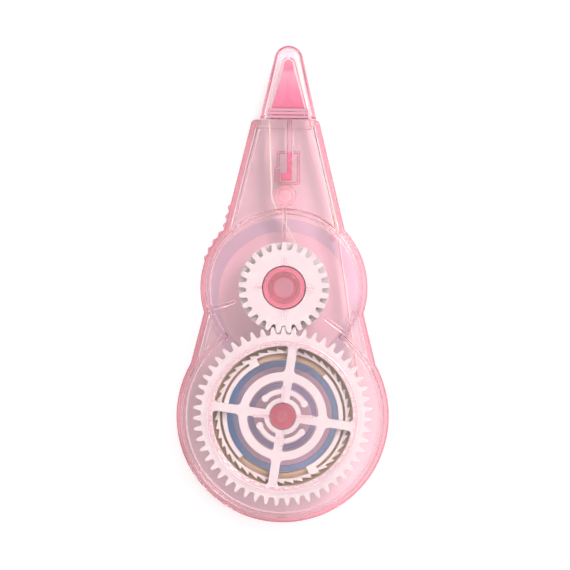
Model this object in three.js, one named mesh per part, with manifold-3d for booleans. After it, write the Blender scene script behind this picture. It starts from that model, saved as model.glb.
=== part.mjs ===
// Correction tape, in millimetres.
// It lies on its back: X runs across, Y from the supply roll towards the tip, Z up from the back face.
// The origin is on the back face, on the axis of the supply axle.

import * as THREE from 'three';
import { mergeVertices } from 'three/addons/utils/BufferGeometryUtils.js';
import Module from 'manifold-3d';

const manifold = await Module();
manifold.setup();

// Fits and gaps
const runningGap = 0.3;
const fitGap = 0.15;
const seamGap = 0.15;
const overlap = 0.2;
const arcTolerance = 0.03;
const mergeDistance = 1e-5;
const leastRouteStep = 0.02;
const leastBevel = 0.05;

// Gears
const gearModule = 0.6;
const driveTeeth = 51;
const takeUpTeeth = 25;
const pressureAngle = 25;
const addendum = 1.0;
const dedendum = 1.25;
const driveToothShare = 0.41;
const takeUpToothShare = 0.53;
const tipRounding = 0.1;
const rootRounding = 0.22;
const rootSpread = 0.45;
const flankSteps = 2;
const gearThickness = 1.8;

// Drive gear inside its teeth
const driveRimInner = 12.45;
const driveRingOuter = 7.85;
const driveRingInner = 6.3;
const hubWall = 0.9;
const spokeCount = 4;
const spokeWidth = 1.6;
const spokeTurn = 82;
const springArmRadius = 4.4;
const springArmWidth = 0.95;
const springArmBlob = 0.65;
const springArmDepth = 1.3;
const springArmTips = [[82, 135], [82, 30], [262, 203], [262, 320]];

// Saw-toothed ring with its two curved arms
const ratchetThickness = 0.8;
const sawTeeth = 45;
const sawTipRadius = 12.1;
const sawRootRadius = 11.5;
const sawRingInner = 11.15;
const gripArmWidth = 0.8;
const gripArmStarts = [115, 295];
const gripArmSweep = 110;
const gripArmRootSweep = 9;

// Tape and rolls
const tapeWidth = 5;
const tapeThickness = 0.3;
const tapeGap = 0.3;
const rollRadius = 13.7;
const supplyCoreRadius = 9.75;
const supplyCoreWall = 0.95;
const reelFlangeThickness = 0.8;
const clutchCollarInner = 5.2;
const clutchCollarWall = 0.75;
const supplyLapSweep = 340;
const spentRollRadius = 5.3;
const spentLapSweep = 300;
const bladeWrap = 62;
const nearlyFullTurn = 359;
const takeUpDrumRadius = 4.5;
const takeUpSnoutRadius = 3.75;
const takeUpFlangeRadius = 7.4;
const takeUpFlangeThickness = 0.5;
const takeUpDiscThickness = 0.6;
const takeUpDiscRoom = 0.4;
const selfGapWindow = 4;

// Axles
const supplyPostRadius = 2.25;
const takeUpPostRadius = 2.6;
const takeUpPostBore = 1.8;
const lockPinRadius = 1.0;
const lockPinLength = 2.6;
const lockPinSlot = 0.4;

// Case outline
const gearRoom = 1.4;
const takeUpChamberRadius = 13.3;
const domeWall = 0.85;
const domeStep = 0.7;
const flankStart = 29.5;
const flankEnd = -17.6;
const neckLength = 29.8;
const neckTopHalfWidth = 5.95;
const neckSlope = 13.75;
const neckCorner = 0.6;

// Case shells
const caseWall = 0.9;
const floorThickness = 1.2;
const frontThickness = 1.2;
const notchDepth = 0.7;
const lipDepth = 1.0;
const lipWall = 0.7;
const lipRoom = 0.7;
const clipWidth = 1.6;
const clipDepth = 1.0;
const clipAngles = [-90, 25, 155];

// Clear shell details
const notchCount = 45;
const notchRingOuter = 13.4;
const notchRingInner = 12.6;
const notchCut = 0.35;
const notchShare = 0.35;
const radialRibAngles = [90, 196.6, -36];
const radialRibWidth = 0.68;
const radialRibRoom = 0.8;
const hubRibCount = 4;
const hubRibWidth = 0.5;
const supplyHubRibEnd = 5.3;
const takeUpHubRibEnd = 5.2;

// Rear shell details
const padRadius = 11.66;
const padShift = -1.65;
const padClear = 0.9;
const postCover = 1.2;
const gripRidgeCount = 7;
const gripRidgeRadius = 0.6;
const gripRidgeProud = 0.35;
const gripRidgePitch = 1.65;
const gripRidgeStart = 16.2;
const gripRidgeInset = 0.9;
const tongueHalfWidth = 3.55;
const tongueLength = 1.8;
const tongueRoot = 2.0;
const tongueThickness = 0.6;
const mouthLeft = 4.4;
const mouthRight = 5.0;
const bossRadius = 1.94;
const bossBore = 1.07;
const bossX = 0.1;
const bossDrop = 13.45;
const guidePostRadius = 0.6;
const guidePostX = 8.55;
const guidePostDrop = 20.9;
const wallGuideRadius = 0.5;
const wallGuideDrop = 2.6;
const wallGuideSink = 0.3;

// Head, its stem and its socket
const headShift = 0.45;
const headBaseHalfWidth = 2.93;
const headTopHalfWidth = 0.98;
const headFlangeLength = 6.7;
const headFlangeThickness = 0.6;
const headCoreBaseHalfWidth = 2.0;
const bladeHalfWidth = 0.8;
const bladeLength = 8.6;
const bladeSideRoom = 0.2;
const headGap = 0.3;
const stemLeft = 0.3;
const stemWidth = 0.9;
const stemSideRoom = 0.4;
const stemLength = 10.7;
const hookWidth = 1.9;
const hookThickness = 1.3;
const socketWall = 0.5;
const socketRight = 2.6;
const socketHeight = 6.0;
const socketRoom = 0.3;
const socketLugWidth = 0.35;
const socketLugHeight = 2.5;
const cornerGuideRadius = 0.3;

// Cap
const capTipRoom = 1.25;
const capBaseHalfWidth = 5.03;
const capApexRadius = 2.6;
const capWall = 0.7;
const capBaseHalfDepth = 4.7;
const capApexHalfDepth = 4.1;

// Levels from the back face to the front face
const floorTop = floorThickness;
const reelBottom = floorTop + runningGap;
const reelFlangeTop = reelBottom + reelFlangeThickness;
const tapeBottom = reelFlangeTop + tapeGap;
const tapeTop = tapeBottom + tapeWidth;
const tapeMiddle = (tapeBottom + tapeTop) / 2;
const ratchetBottom = tapeTop + runningGap;
const ratchetTop = ratchetBottom + ratchetThickness;
const gearBottom = ratchetTop + runningGap;
const gearTop = gearBottom + gearThickness;
const notchBottom = gearTop + runningGap;
const domeUnder = notchBottom + notchDepth;
const domeTop = domeUnder + frontThickness;
const lipBottom = tapeTop + lipRoom;
const plateUnder = lipBottom + lipDepth;
const plateTop = plateUnder + frontThickness;
const postTop = domeUnder - runningGap;
const guideTop = lipBottom - runningGap;
const takeUpReelBottom = reelFlangeTop - takeUpFlangeThickness;
const padTop = takeUpReelBottom - runningGap;
const takeUpDiscBottom = tapeTop + takeUpDiscRoom;
const takeUpDiscTop = takeUpDiscBottom + takeUpDiscThickness;

// Radii and places that follow from the sizes above
const axleSpacing = gearModule * (driveTeeth + takeUpTeeth) / 2;
const drivePitchRadius = gearModule * driveTeeth / 2;
const takeUpPitchRadius = gearModule * takeUpTeeth / 2;
const driveTipRadius = drivePitchRadius + addendum * gearModule;
const takeUpTipRadius = takeUpPitchRadius + addendum * gearModule;
const supplyDomeRadius = driveTipRadius + gearRoom + domeWall;
const takeUpDomeRadius = takeUpChamberRadius + domeWall;
const supplyLobeRadius = supplyDomeRadius + domeStep;
const takeUpLobeRadius = takeUpDomeRadius + domeStep;
const supplyHubBore = supplyPostRadius + fitGap;
const supplyHubRadius = supplyHubBore + hubWall;
const takeUpReelBore = takeUpPostRadius + fitGap;
const takeUpGearBore = takeUpSnoutRadius + fitGap;
const gripArmInner = supplyCoreRadius + fitGap;
const lapRadius = rollRadius + tapeGap + tapeThickness / 2;
const spentLapRadius = spentRollRadius + tapeGap + tapeThickness / 2;
const reelFlangeRadius = lapRadius + tapeThickness;
const mouthY = axleSpacing + neckLength;
const tongueEnd = mouthY + tongueLength;
const headBaseY = tongueEnd + headGap;
const headTopY = headBaseY + headFlangeLength;
const bladeEndY = headBaseY + bladeLength;
const stemEndY = headBaseY - headGap - tongueLength - stemLength;
const capBaseY = mouthY + seamGap;
const capApexY = bladeEndY + tapeGap + tapeThickness + capTipRoom + capWall;
const capLength = capApexY - capBaseY;
const tapeOffset = tapeGap + tapeThickness / 2;
const supplyAxis = new THREE.Vector2(0, 0);
const takeUpAxis = new THREE.Vector2(0, axleSpacing);
const bossAxis = new THREE.Vector2(bossX, mouthY - bossDrop);
const guidePostAxis = new THREE.Vector2(guidePostX, mouthY - guidePostDrop);

const radians = (degrees) => degrees * Math.PI / 180;

const polar = (centre, radius, angle) => new THREE.Vector2(
  centre.x + radius * Math.cos(radians(angle)),
  centre.y + radius * Math.sin(radians(angle)),
);

// Points of an arc, angles in degrees, with more of them on a larger radius.
function arc(centre, radius, from, to) {
  const step = 2 * Math.acos(1 - arcTolerance / radius) * 180 / Math.PI;
  const steps = Math.max(2, Math.ceil(Math.abs(to - from) / step));
  return Array.from({ length: steps + 1 }, (_, i) => polar(centre, radius, from + (to - from) * i / steps));
}

function circle(centre, radius) {
  const points = arc(centre, radius, 0, 360);
  points.pop();
  return points;
}

const box = (left, bottom, right, top) => [
  new THREE.Vector2(left, bottom),
  new THREE.Vector2(right, bottom),
  new THREE.Vector2(right, top),
  new THREE.Vector2(left, top),
];

// Closed solid of a geometry class's shape.
function solid(geometry) {
  geometry.deleteAttribute('normal');
  geometry.deleteAttribute('uv');
  const merged = mergeVertices(geometry, mergeDistance);
  return new manifold.Manifold(new manifold.Mesh({
    numProp: 3,
    vertProperties: new Float32Array(merged.attributes.position.array),
    triVerts: new Uint32Array(merged.index.array),
  }));
}

// Flat outline, with holes if any, raised from one level to another.
function plate(outline, low, high, holes = []) {
  const shape = new THREE.Shape(outline);
  holes.forEach((hole) => shape.holes.push(new THREE.Path(hole)));
  const geometry = new THREE.ExtrudeGeometry(shape, { depth: high - low, bevelEnabled: false });
  return solid(geometry.translate(0, 0, low));
}

// Outline drawn in Y and Z, carried across X.
function crossPlate(outline, left, right) {
  const shape = new THREE.Shape(outline);
  const geometry = new THREE.ExtrudeGeometry(shape, { depth: right - left, bevelEnabled: false });
  const turn = new THREE.Matrix4().makeBasis(
    new THREE.Vector3(0, 1, 0),
    new THREE.Vector3(0, 0, 1),
    new THREE.Vector3(1, 0, 0),
  );
  return solid(geometry.applyMatrix4(turn).translate(left, 0, 0));
}

const disc = (centre, radius, low, high) => plate(circle(centre, radius), low, high);

const ring = (centre, outer, inner, low, high) => plate(
  circle(centre, outer),
  low,
  high,
  [circle(centre, inner)],
);

const join = (pieces) => pieces.reduce((whole, piece) => whole.add(piece));

const cut = (piece, tools) => tools.reduce((whole, tool) => whole.subtract(tool), piece);

// Straight bar that runs out from a centre at an angle.
function radialBar(centre, angle, from, to, width, low, high) {
  const bar = new THREE.BoxGeometry(to - from, width, high - low);
  bar.translate((from + to) / 2, 0, (low + high) / 2);
  bar.rotateZ(radians(angle));
  return solid(bar.translate(centre.x, centre.y, 0));
}

// Curved strip between two angles.
const arcStrip = (centre, radius, width, from, to, low, high) => plate(
  [...arc(centre, radius + width / 2, from, to), ...arc(centre, radius - width / 2, to, from)],
  low,
  high,
);

// Involute gear outline with its first tooth centred on an angle and rounded gaps.
function gearOutline(centre, teeth, toothShare, firstTooth) {
  const pitch = gearModule * teeth / 2;
  const base = pitch * Math.cos(radians(pressureAngle));
  const root = pitch - dedendum * gearModule;
  const tip = pitch + addendum * gearModule;
  const involute = (angle) => Math.tan(angle) - angle;
  const halfAtPitch = Math.PI * toothShare / teeth;
  const halfAngle = (radius) => {
    const roll = Math.acos(Math.min(1, base / radius));
    return (halfAtPitch + involute(radians(pressureAngle)) - involute(roll)) * 180 / Math.PI;
  };
  const flankFoot = Math.max(base, root + rootRounding);
  const flankTop = tip - tipRounding;
  const flank = Array.from(
    { length: flankSteps + 1 },
    (_, i) => flankFoot + (flankTop - flankFoot) * i / flankSteps,
  );
  const gapHalf = 180 / teeth;
  const gapSpread = (gapHalf - halfAngle(flankFoot)) * rootSpread;
  const points = [];
  for (let tooth = 0; tooth < teeth; tooth += 1) {
    const middle = firstTooth + 360 * tooth / teeth;
    points.push(polar(centre, root, middle - gapHalf + gapSpread));
    flank.forEach((radius) => points.push(polar(centre, radius, middle - halfAngle(radius))));
    points.push(polar(centre, tip, middle));
    [...flank].reverse().forEach((radius) => points.push(polar(centre, radius, middle + halfAngle(radius))));
    points.push(polar(centre, root, middle + gapHalf - gapSpread));
  }
  return points;
}

// Where a straight edge leaves a circle: the line goes through a point at an angle, and side picks the end.
function lineMeetsCircle(point, angle, centre, radius, side) {
  const direction = polar(new THREE.Vector2(), 1, angle);
  const offset = point.clone().sub(centre);
  const along = offset.dot(direction);
  const reach = Math.sqrt(along * along - offset.lengthSq() + radius * radius);
  return point.clone().addScaledVector(direction, -along + side * reach);
}

const angleAt = (centre, point) => Math.atan2(point.y - centre.y, point.x - centre.x) * 180 / Math.PI;

const mirrored = (points) => points.map((point) => new THREE.Vector2(-point.x, point.y)).reverse();

// Outline of the case, drawn in by an inset: two round lobes, straight flanks and the tapered neck.
function caseOutline(inset) {
  const supplyRadius = supplyLobeRadius - inset;
  const takeUpRadius = takeUpLobeRadius - inset;
  const flankFoot = polar(supplyAxis, supplyLobeRadius, flankStart);
  const flankHead = polar(takeUpAxis, takeUpLobeRadius, flankEnd);
  const flankAngle = angleAt(flankFoot, flankHead);
  const flankPoint = polar(flankFoot, inset, flankAngle + 90);
  const foot = lineMeetsCircle(flankPoint, flankAngle, supplyAxis, supplyRadius, 1);
  const head = lineMeetsCircle(flankPoint, flankAngle, takeUpAxis, takeUpRadius, -1);
  const neckAngle = 90 + neckSlope;
  const neckPoint = polar(new THREE.Vector2(neckTopHalfWidth, mouthY), inset, neckAngle + 90);
  const neckFoot = lineMeetsCircle(neckPoint, neckAngle, takeUpAxis, takeUpRadius, 1);
  const slope = Math.tan(radians(neckSlope));
  const cornerX = neckPoint.x - (mouthY - inset - neckPoint.y) * slope;
  const bevel = Math.max(neckCorner - inset, leastBevel);
  const right = [
    ...arc(supplyAxis, supplyRadius, -90, angleAt(supplyAxis, foot)),
    ...arc(takeUpAxis, takeUpRadius, angleAt(takeUpAxis, head), angleAt(takeUpAxis, neckFoot)),
    new THREE.Vector2(cornerX + bevel * slope, mouthY - inset - bevel),
    new THREE.Vector2(cornerX - bevel * slope, mouthY - inset),
  ];
  const left = mirrored(right);
  left.pop();
  return [...right, ...left];
}

// Outline of the two raised round chambers that the clear shell has over the gears.
function domeOutline(inset) {
  const lower = supplyDomeRadius - inset;
  const upper = takeUpDomeRadius - inset;
  const cusp = (lower * lower - upper * upper + axleSpacing * axleSpacing) / (2 * axleSpacing);
  const lowerAngle = Math.asin(cusp / lower) * 180 / Math.PI;
  const upperAngle = Math.asin((cusp - axleSpacing) / upper) * 180 / Math.PI;
  const lowerArc = arc(supplyAxis, lower, lowerAngle - 360 + 2 * (90 - lowerAngle), lowerAngle);
  const upperArc = arc(takeUpAxis, upper, upperAngle, 180 - upperAngle);
  return [...lowerArc, ...upperArc.slice(1, -1)];
}

// Straight neck edge, at the inside of the wall, for a height below the mouth.
const neckInnerX = (drop) => neckTopHalfWidth + drop * Math.tan(radians(neckSlope))
  - caseWall / Math.cos(radians(neckSlope));

// Contact points of a straight run between two round guides. A positive radius has its guide on the left.
function straightRun(start, end) {
  const between = end.centre.clone().sub(start.centre);
  const reach = (start.radius - end.radius) / between.length();
  const normal = Math.atan2(between.y, between.x) * 180 / Math.PI - Math.acos(reach) * 180 / Math.PI;
  return {
    leave: start.radius > 0 ? normal : normal + 180,
    arrive: end.radius > 0 ? normal : normal + 180,
  };
}

// Middle line of a ribbon that runs round its guides in turn.
function ribbonRoute(guides, startSweep, endSweep) {
  const runs = guides.slice(1).map((guide, i) => straightRun(guides[i], guide));
  const route = [];
  guides.forEach((guide, i) => {
    const way = Math.sign(guide.radius);
    const leave = i < runs.length ? runs[i].leave : runs[i - 1].arrive + way * endSweep;
    const arrive = i > 0 ? runs[i - 1].arrive : leave - way * startSweep;
    const turn = ((way * (leave - arrive)) % 360 + 360) % 360;
    const sweep = turn > nearlyFullTurn ? 0 : turn;
    const bend = arc(guide.centre, Math.abs(guide.radius), arrive, arrive + way * sweep);
    route.push(...bend);
  });
  return route.filter((point, i) => i === 0 || point.distanceTo(route[i - 1]) > leastRouteStep);
}

// Ribbon on edge: its middle line given thickness in plan and raised to its width.
function ribbon(route, low, high) {
  const side = (way) => route.map((point, i) => {
    const before = route[Math.max(i - 1, 0)];
    const after = route[Math.min(i + 1, route.length - 1)];
    const along = after.clone().sub(before).normalize();
    return new THREE.Vector2(
      point.x + way * along.y * tapeThickness / 2,
      point.y - way * along.x * tapeThickness / 2,
    );
  });
  return plate([...side(1), ...side(-1).reverse()], low, high);
}

// Least clear gap between two stretches of one ribbon that lie apart along it.
function leastSelfGap(route) {
  const lengths = [0];
  route.slice(1).forEach((point, i) => lengths.push(lengths[i] + point.distanceTo(route[i])));
  let least = Infinity;
  route.forEach((point, i) => {
    route.forEach((other, j) => {
      if (lengths[j] - lengths[i] > selfGapWindow) {
        least = Math.min(least, point.distanceTo(other) - tapeThickness);
      }
    });
  });
  return least;
}

// Rear shell, moulded in one: floor, wall, axle posts, neck socket, boss, guides and grip ridges.
function rearFloor() {
  const floor = plate(caseOutline(0), 0, floorTop);
  const wall = plate(caseOutline(0), 0, plateUnder - seamGap, [caseOutline(caseWall)]);
  const padCentre = new THREE.Vector2(0, axleSpacing + padShift);
  const pad = disc(padCentre, padRadius, floorTop - overlap, padTop);
  const reelRoom = disc(supplyAxis, reelFlangeRadius + padClear, floorTop, padTop + overlap);
  return join([floor, wall, cut(pad, [reelRoom])]);
}

function rearPosts() {
  const supplyPost = disc(supplyAxis, supplyPostRadius, floorTop - overlap, postTop);
  const pinSocket = disc(
    supplyAxis,
    lockPinRadius + runningGap,
    domeUnder - lockPinLength - runningGap,
    postTop + overlap,
  );
  const takeUpPost = disc(takeUpAxis, takeUpPostRadius, floorTop - overlap, postTop);
  return join([cut(supplyPost, [pinSocket]), takeUpPost]);
}

function neckSocket() {
  const innerLeft = stemLeft + stemWidth - hookWidth - socketRoom;
  const innerFoot = stemEndY - socketRoom;
  const left = innerLeft - socketWall;
  const foot = innerFoot - socketWall;
  const outer = box(left, foot, socketRight, foot + socketHeight);
  const inner = box(innerLeft, innerFoot, socketRight - socketWall, foot + socketHeight - socketWall);
  const frame = plate(outer, floorTop - overlap, guideTop, [inner]);
  const slot = plate(
    box(stemLeft - socketRoom, foot + socketHeight / 2, stemLeft + stemWidth + socketRoom, mouthY),
    floorTop,
    guideTop + overlap,
  );
  const lug = plate(
    box(left - socketLugWidth, foot + socketWall, left + socketWall / 2, foot + socketWall + socketLugHeight),
    floorTop - overlap,
    guideTop,
  );
  return join([cut(frame, [slot]), lug]);
}

function neckGuides() {
  const boss = ring(bossAxis, bossRadius, bossBore, floorTop - overlap, guideTop);
  const guidePost = disc(guidePostAxis, guidePostRadius, floorTop - overlap, guideTop);
  const wallGuide = disc(wallGuideCentre(), wallGuideRadius, floorTop - overlap, guideTop);
  return join([boss, guidePost, wallGuide]);
}

function wallGuideCentre() {
  return new THREE.Vector2(neckInnerX(wallGuideDrop) + wallGuideSink, mouthY - wallGuideDrop);
}

function rearTongue() {
  const low = tapeMiddle - capBaseHalfDepth + capWall + fitGap;
  const inNeck = plate(
    box(headShift - tongueHalfWidth, mouthY - tongueRoot, headShift + tongueHalfWidth, mouthY),
    floorTop - overlap,
    low + tongueThickness,
  );
  const outside = plate(
    box(headShift - tongueHalfWidth, mouthY - tongueRoot, headShift + tongueHalfWidth, tongueEnd),
    low,
    low + tongueThickness,
  );
  return join([inNeck, outside]);
}

// Mouth of the neck, open between its two corners for the stem and both runs of tape.
function mouthCut() {
  return plate(
    box(-mouthLeft, mouthY - caseWall - overlap, mouthRight, mouthY + overlap),
    floorTop,
    plateTop,
  );
}

// Small upright ridges on the left edge, stepped off along the upper lobe from the neck down.
function gripRidges() {
  const edge = caseOutline(gripRidgeRadius - gripRidgeProud);
  const leftEdge = edge.slice(edge.length / 2).filter((point) => point.x < 0);
  const ridges = [];
  let travelled = 0;
  for (let i = 1; i < leftEdge.length; i += 1) {
    const length = leftEdge[i].distanceTo(leftEdge[i - 1]);
    for (let n = 0; n < gripRidgeCount; n += 1) {
      const place = gripRidgeStart + n * gripRidgePitch - travelled;
      if (place >= 0 && place < length) {
        const centre = leftEdge[i - 1].clone().lerp(leftEdge[i], place / length);
        ridges.push(disc(centre, gripRidgeRadius, gripRidgeInset, plateUnder - gripRidgeInset));
      }
    }
    travelled += length;
  }
  return join(ridges);
}

function rearCase() {
  const shell = cut(rearFloor(), [mouthCut()]);
  const whole = join([shell, rearPosts(), neckSocket(), neckGuides(), rearTongue(), gripRidges()]);
  const postCore = disc(takeUpAxis, takeUpPostBore, -overlap, postTop - postCover);
  return cut(whole, [postCore]);
}

// Clear front shell, moulded in one: neck plate, raised chambers, locating lip, ribs, pins and clips.
function frontShell() {
  const neckPlate = plate(caseOutline(0), plateUnder, plateTop, [domeOutline(domeWall)]);
  const chamberWall = plate(domeOutline(0), plateUnder, domeTop, [domeOutline(domeWall)]);
  const top = plate(domeOutline(0), domeUnder, domeTop);
  const lipInset = caseWall + fitGap;
  const lip = plate(
    caseOutline(lipInset),
    lipBottom,
    plateUnder + overlap,
    [caseOutline(lipInset + lipWall)],
  );
  const gearSpace = plate(domeOutline(domeWall), plateUnder - overlap, domeUnder);
  return join([neckPlate, cut(lip, [mouthCut()]), chamberWall, top.subtract(gearSpace)]);
}

function radialRibs() {
  const inner = takeUpTipRadius + radialRibRoom;
  const outer = takeUpChamberRadius + overlap;
  const ribTop = domeTop - overlap;
  return radialRibAngles.map((angle) => join([
    radialBar(takeUpAxis, angle, inner, outer, radialRibWidth, lipBottom, ribTop),
    disc(polar(takeUpAxis, inner, angle), radialRibWidth / 2, lipBottom, ribTop),
  ]));
}

function hubRibs(centre, from, to) {
  return Array.from({ length: hubRibCount }, (_, i) => radialBar(
    centre,
    i * 360 / hubRibCount,
    from,
    to,
    hubRibWidth,
    notchBottom,
    domeUnder + overlap,
  ));
}

// Ring of small notches that the saw teeth click past.
function notchedRing() {
  const pitch = 360 / notchCount;
  const inner = [];
  for (let n = 0; n < notchCount; n += 1) {
    const start = n * pitch;
    const end = start + pitch * notchShare;
    inner.push(polar(supplyAxis, notchRingInner + notchCut, start));
    inner.push(polar(supplyAxis, notchRingInner + notchCut, end));
    inner.push(polar(supplyAxis, notchRingInner, end));
    inner.push(polar(supplyAxis, notchRingInner, start + pitch));
  }
  return plate(circle(supplyAxis, notchRingOuter), notchBottom, domeUnder + overlap, [inner]);
}

// Split pin that snaps into the supply post, and the peg in the neck boss.
function lockPins() {
  const pinBottom = domeUnder - lockPinLength;
  const pin = disc(supplyAxis, lockPinRadius, pinBottom, domeUnder + overlap);
  const slots = [0, 90].map((angle) => radialBar(
    supplyAxis,
    angle,
    -lockPinRadius - overlap,
    lockPinRadius + overlap,
    lockPinSlot,
    pinBottom - overlap,
    domeUnder - runningGap,
  ));
  const peg = disc(bossAxis, bossBore - fitGap, floorTop + runningGap, plateUnder + overlap);
  return [cut(pin, slots), peg];
}

function lipClips() {
  const outer = supplyLobeRadius - caseWall - fitGap;
  return clipAngles.map((angle) => radialBar(
    supplyAxis,
    angle,
    outer - lipWall,
    outer,
    clipWidth,
    lipBottom - clipDepth,
    lipBottom + overlap,
  ));
}

function frontTongue() {
  const high = tapeMiddle + capBaseHalfDepth - capWall - fitGap;
  const left = headShift - tongueHalfWidth;
  const right = headShift + tongueHalfWidth;
  const inNeck = plate(
    box(left, mouthY - tongueRoot, right, mouthY),
    high - tongueThickness,
    plateUnder + overlap,
  );
  const outside = plate(box(left, mouthY - tongueRoot, right, tongueEnd), high - tongueThickness, high);
  return join([inNeck, outside]);
}

function frontCase() {
  return join([
    frontShell(),
    ...radialRibs(),
    ...hubRibs(supplyAxis, supplyHubBore, supplyHubRibEnd),
    ...hubRibs(takeUpAxis, takeUpGearBore, takeUpHubRibEnd),
    notchedRing(),
    ...lockPins(),
    ...lipClips(),
    frontTongue(),
  ]);
}

// Large white gear on the supply axle, with the spring arms of its slip clutch.
function driveGear() {
  const teeth = gearOutline(supplyAxis, driveTeeth, driveToothShare, 90);
  const rim = plate(teeth, gearBottom, gearTop, [circle(supplyAxis, driveRimInner)]);
  const middleRing = ring(supplyAxis, driveRingOuter, driveRingInner, gearBottom, gearTop);
  const hubBottom = ratchetBottom - springArmDepth;
  const hub = ring(supplyAxis, supplyHubRadius, supplyHubBore, hubBottom, gearTop);
  const spokes = Array.from({ length: spokeCount }, (_, i) => radialBar(
    supplyAxis,
    spokeTurn + i * 360 / spokeCount,
    supplyHubBore + hubWall / 2,
    driveRimInner + overlap,
    spokeWidth,
    gearBottom,
    gearTop,
  ));
  const armBottom = ratchetTop - springArmDepth;
  const arms = springArmTips.flatMap(([from, to]) => [
    arcStrip(
      supplyAxis,
      springArmRadius,
      springArmWidth,
      Math.min(from, to),
      Math.max(from, to),
      armBottom,
      gearTop,
    ),
    disc(polar(supplyAxis, springArmRadius, to), springArmBlob, armBottom, gearTop),
  ]);
  return join([rim, middleRing, hub, ...spokes, ...arms]);
}

// White saw-toothed ring, whose two long arms grip the core of the supply reel.
function ratchetFlange() {
  const pitch = 360 / sawTeeth;
  const saw = [];
  for (let tooth = 0; tooth < sawTeeth; tooth += 1) {
    saw.push(polar(supplyAxis, sawRootRadius, tooth * pitch));
    saw.push(polar(supplyAxis, sawTipRadius, tooth * pitch));
  }
  const sawRing = plate(saw, ratchetBottom, ratchetTop, [circle(supplyAxis, sawRingInner)]);
  const arms = gripArmStarts.flatMap((start) => {
    const middle = gripArmInner + gripArmWidth / 2;
    const rootInner = gripArmInner + overlap;
    const rootOuter = sawRingInner + overlap;
    return [
      arcStrip(supplyAxis, middle, gripArmWidth, start, start + gripArmSweep, ratchetBottom, ratchetTop),
      arcStrip(
        supplyAxis,
        (rootInner + rootOuter) / 2,
        rootOuter - rootInner,
        start,
        start + gripArmRootSweep,
        ratchetBottom,
        ratchetTop,
      ),
    ];
  });
  return join([sawRing, ...arms]);
}

// Blue reel: back flange and web, core that carries the roll, clutch collar and hub.
function supplyReel() {
  const web = ring(supplyAxis, reelFlangeRadius, supplyHubBore, reelBottom, reelFlangeTop);
  const core = ring(supplyAxis, supplyCoreRadius, supplyCoreRadius - supplyCoreWall, reelBottom, ratchetTop);
  const collarOuter = clutchCollarInner + clutchCollarWall;
  const collar = ring(supplyAxis, collarOuter, clutchCollarInner, reelBottom, ratchetTop);
  const hubTop = ratchetBottom - springArmDepth - runningGap;
  const hub = ring(supplyAxis, supplyHubRadius, supplyHubBore, reelBottom, hubTop);
  return join([web, core, collar, hub]);
}

// Roll of fresh tape under its outer lap.
const tapeRoll = () => ring(supplyAxis, rollRadius, supplyCoreRadius + tapeGap, tapeBottom, tapeTop);

// Used ribbon wound on the take-up drum, under its outer lap.
const spentRoll = () => ring(takeUpAxis, spentRollRadius, takeUpDrumRadius + tapeGap, tapeBottom, tapeTop);

// Small white gear on the take-up reel's snout, backed by a disc that guides the used ribbon.
// It has a gap facing the large gear's tooth.
function takeUpGear() {
  const halfPitch = 180 / takeUpTeeth;
  const outline = gearOutline(takeUpAxis, takeUpTeeth, takeUpToothShare, -90 + halfPitch);
  const teeth = plate(outline, gearBottom, gearTop, [circle(takeUpAxis, takeUpGearBore)]);
  const rootRadius = takeUpPitchRadius - dedendum * gearModule - fitGap;
  const neck = ring(takeUpAxis, rootRadius, takeUpGearBore, takeUpDiscBottom, gearBottom + overlap);
  const backing = ring(takeUpAxis, takeUpTipRadius, takeUpGearBore, takeUpDiscBottom, takeUpDiscTop);
  return join([teeth, neck, backing]);
}

// Pink reel that draws the used ribbon in.
function takeUpReel() {
  const flange = ring(takeUpAxis, takeUpFlangeRadius, takeUpReelBore, takeUpReelBottom, reelFlangeTop);
  const drum = ring(takeUpAxis, takeUpDrumRadius, takeUpReelBore, takeUpReelBottom, tapeTop + fitGap);
  const snout = ring(takeUpAxis, takeUpSnoutRadius, takeUpReelBore, takeUpReelBottom, gearTop);
  return join([flange, drum, snout]);
}

const bladeCentre = () => new THREE.Vector2(headShift, bladeEndY - bladeHalfWidth);

// Transfer head: blade between two side flanges, on a thin stem with a hook at its foot.
function head() {
  const flangeOutline = [
    new THREE.Vector2(headShift - headBaseHalfWidth, headBaseY),
    new THREE.Vector2(headShift + headBaseHalfWidth, headBaseY),
    new THREE.Vector2(headShift + headTopHalfWidth, headTopY),
    new THREE.Vector2(headShift - headTopHalfWidth, headTopY),
  ];
  const coreOutline = [
    new THREE.Vector2(headShift - headCoreBaseHalfWidth, headBaseY),
    new THREE.Vector2(headShift + headCoreBaseHalfWidth, headBaseY),
    ...arc(bladeCentre(), bladeHalfWidth, 0, 180),
  ];
  const bladeLow = tapeBottom - bladeSideRoom;
  const bladeHigh = tapeTop + bladeSideRoom;
  const core = plate(coreOutline, bladeLow, bladeHigh);
  const rearFlange = plate(flangeOutline, bladeLow - headFlangeThickness, bladeLow);
  const frontFlange = plate(flangeOutline, bladeHigh, bladeHigh + headFlangeThickness);
  const stemRight = stemLeft + stemWidth;
  const stem = plate(
    box(stemLeft, stemEndY, stemRight, headBaseY + overlap),
    tapeBottom + stemSideRoom,
    tapeTop - stemSideRoom,
  );
  const hook = plate(
    box(stemRight - hookWidth, stemEndY, stemRight, stemEndY + hookThickness),
    tapeBottom + stemSideRoom,
    tapeTop - stemSideRoom,
  );
  return join([core, rearFlange, frontFlange, stem, hook]);
}

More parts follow.
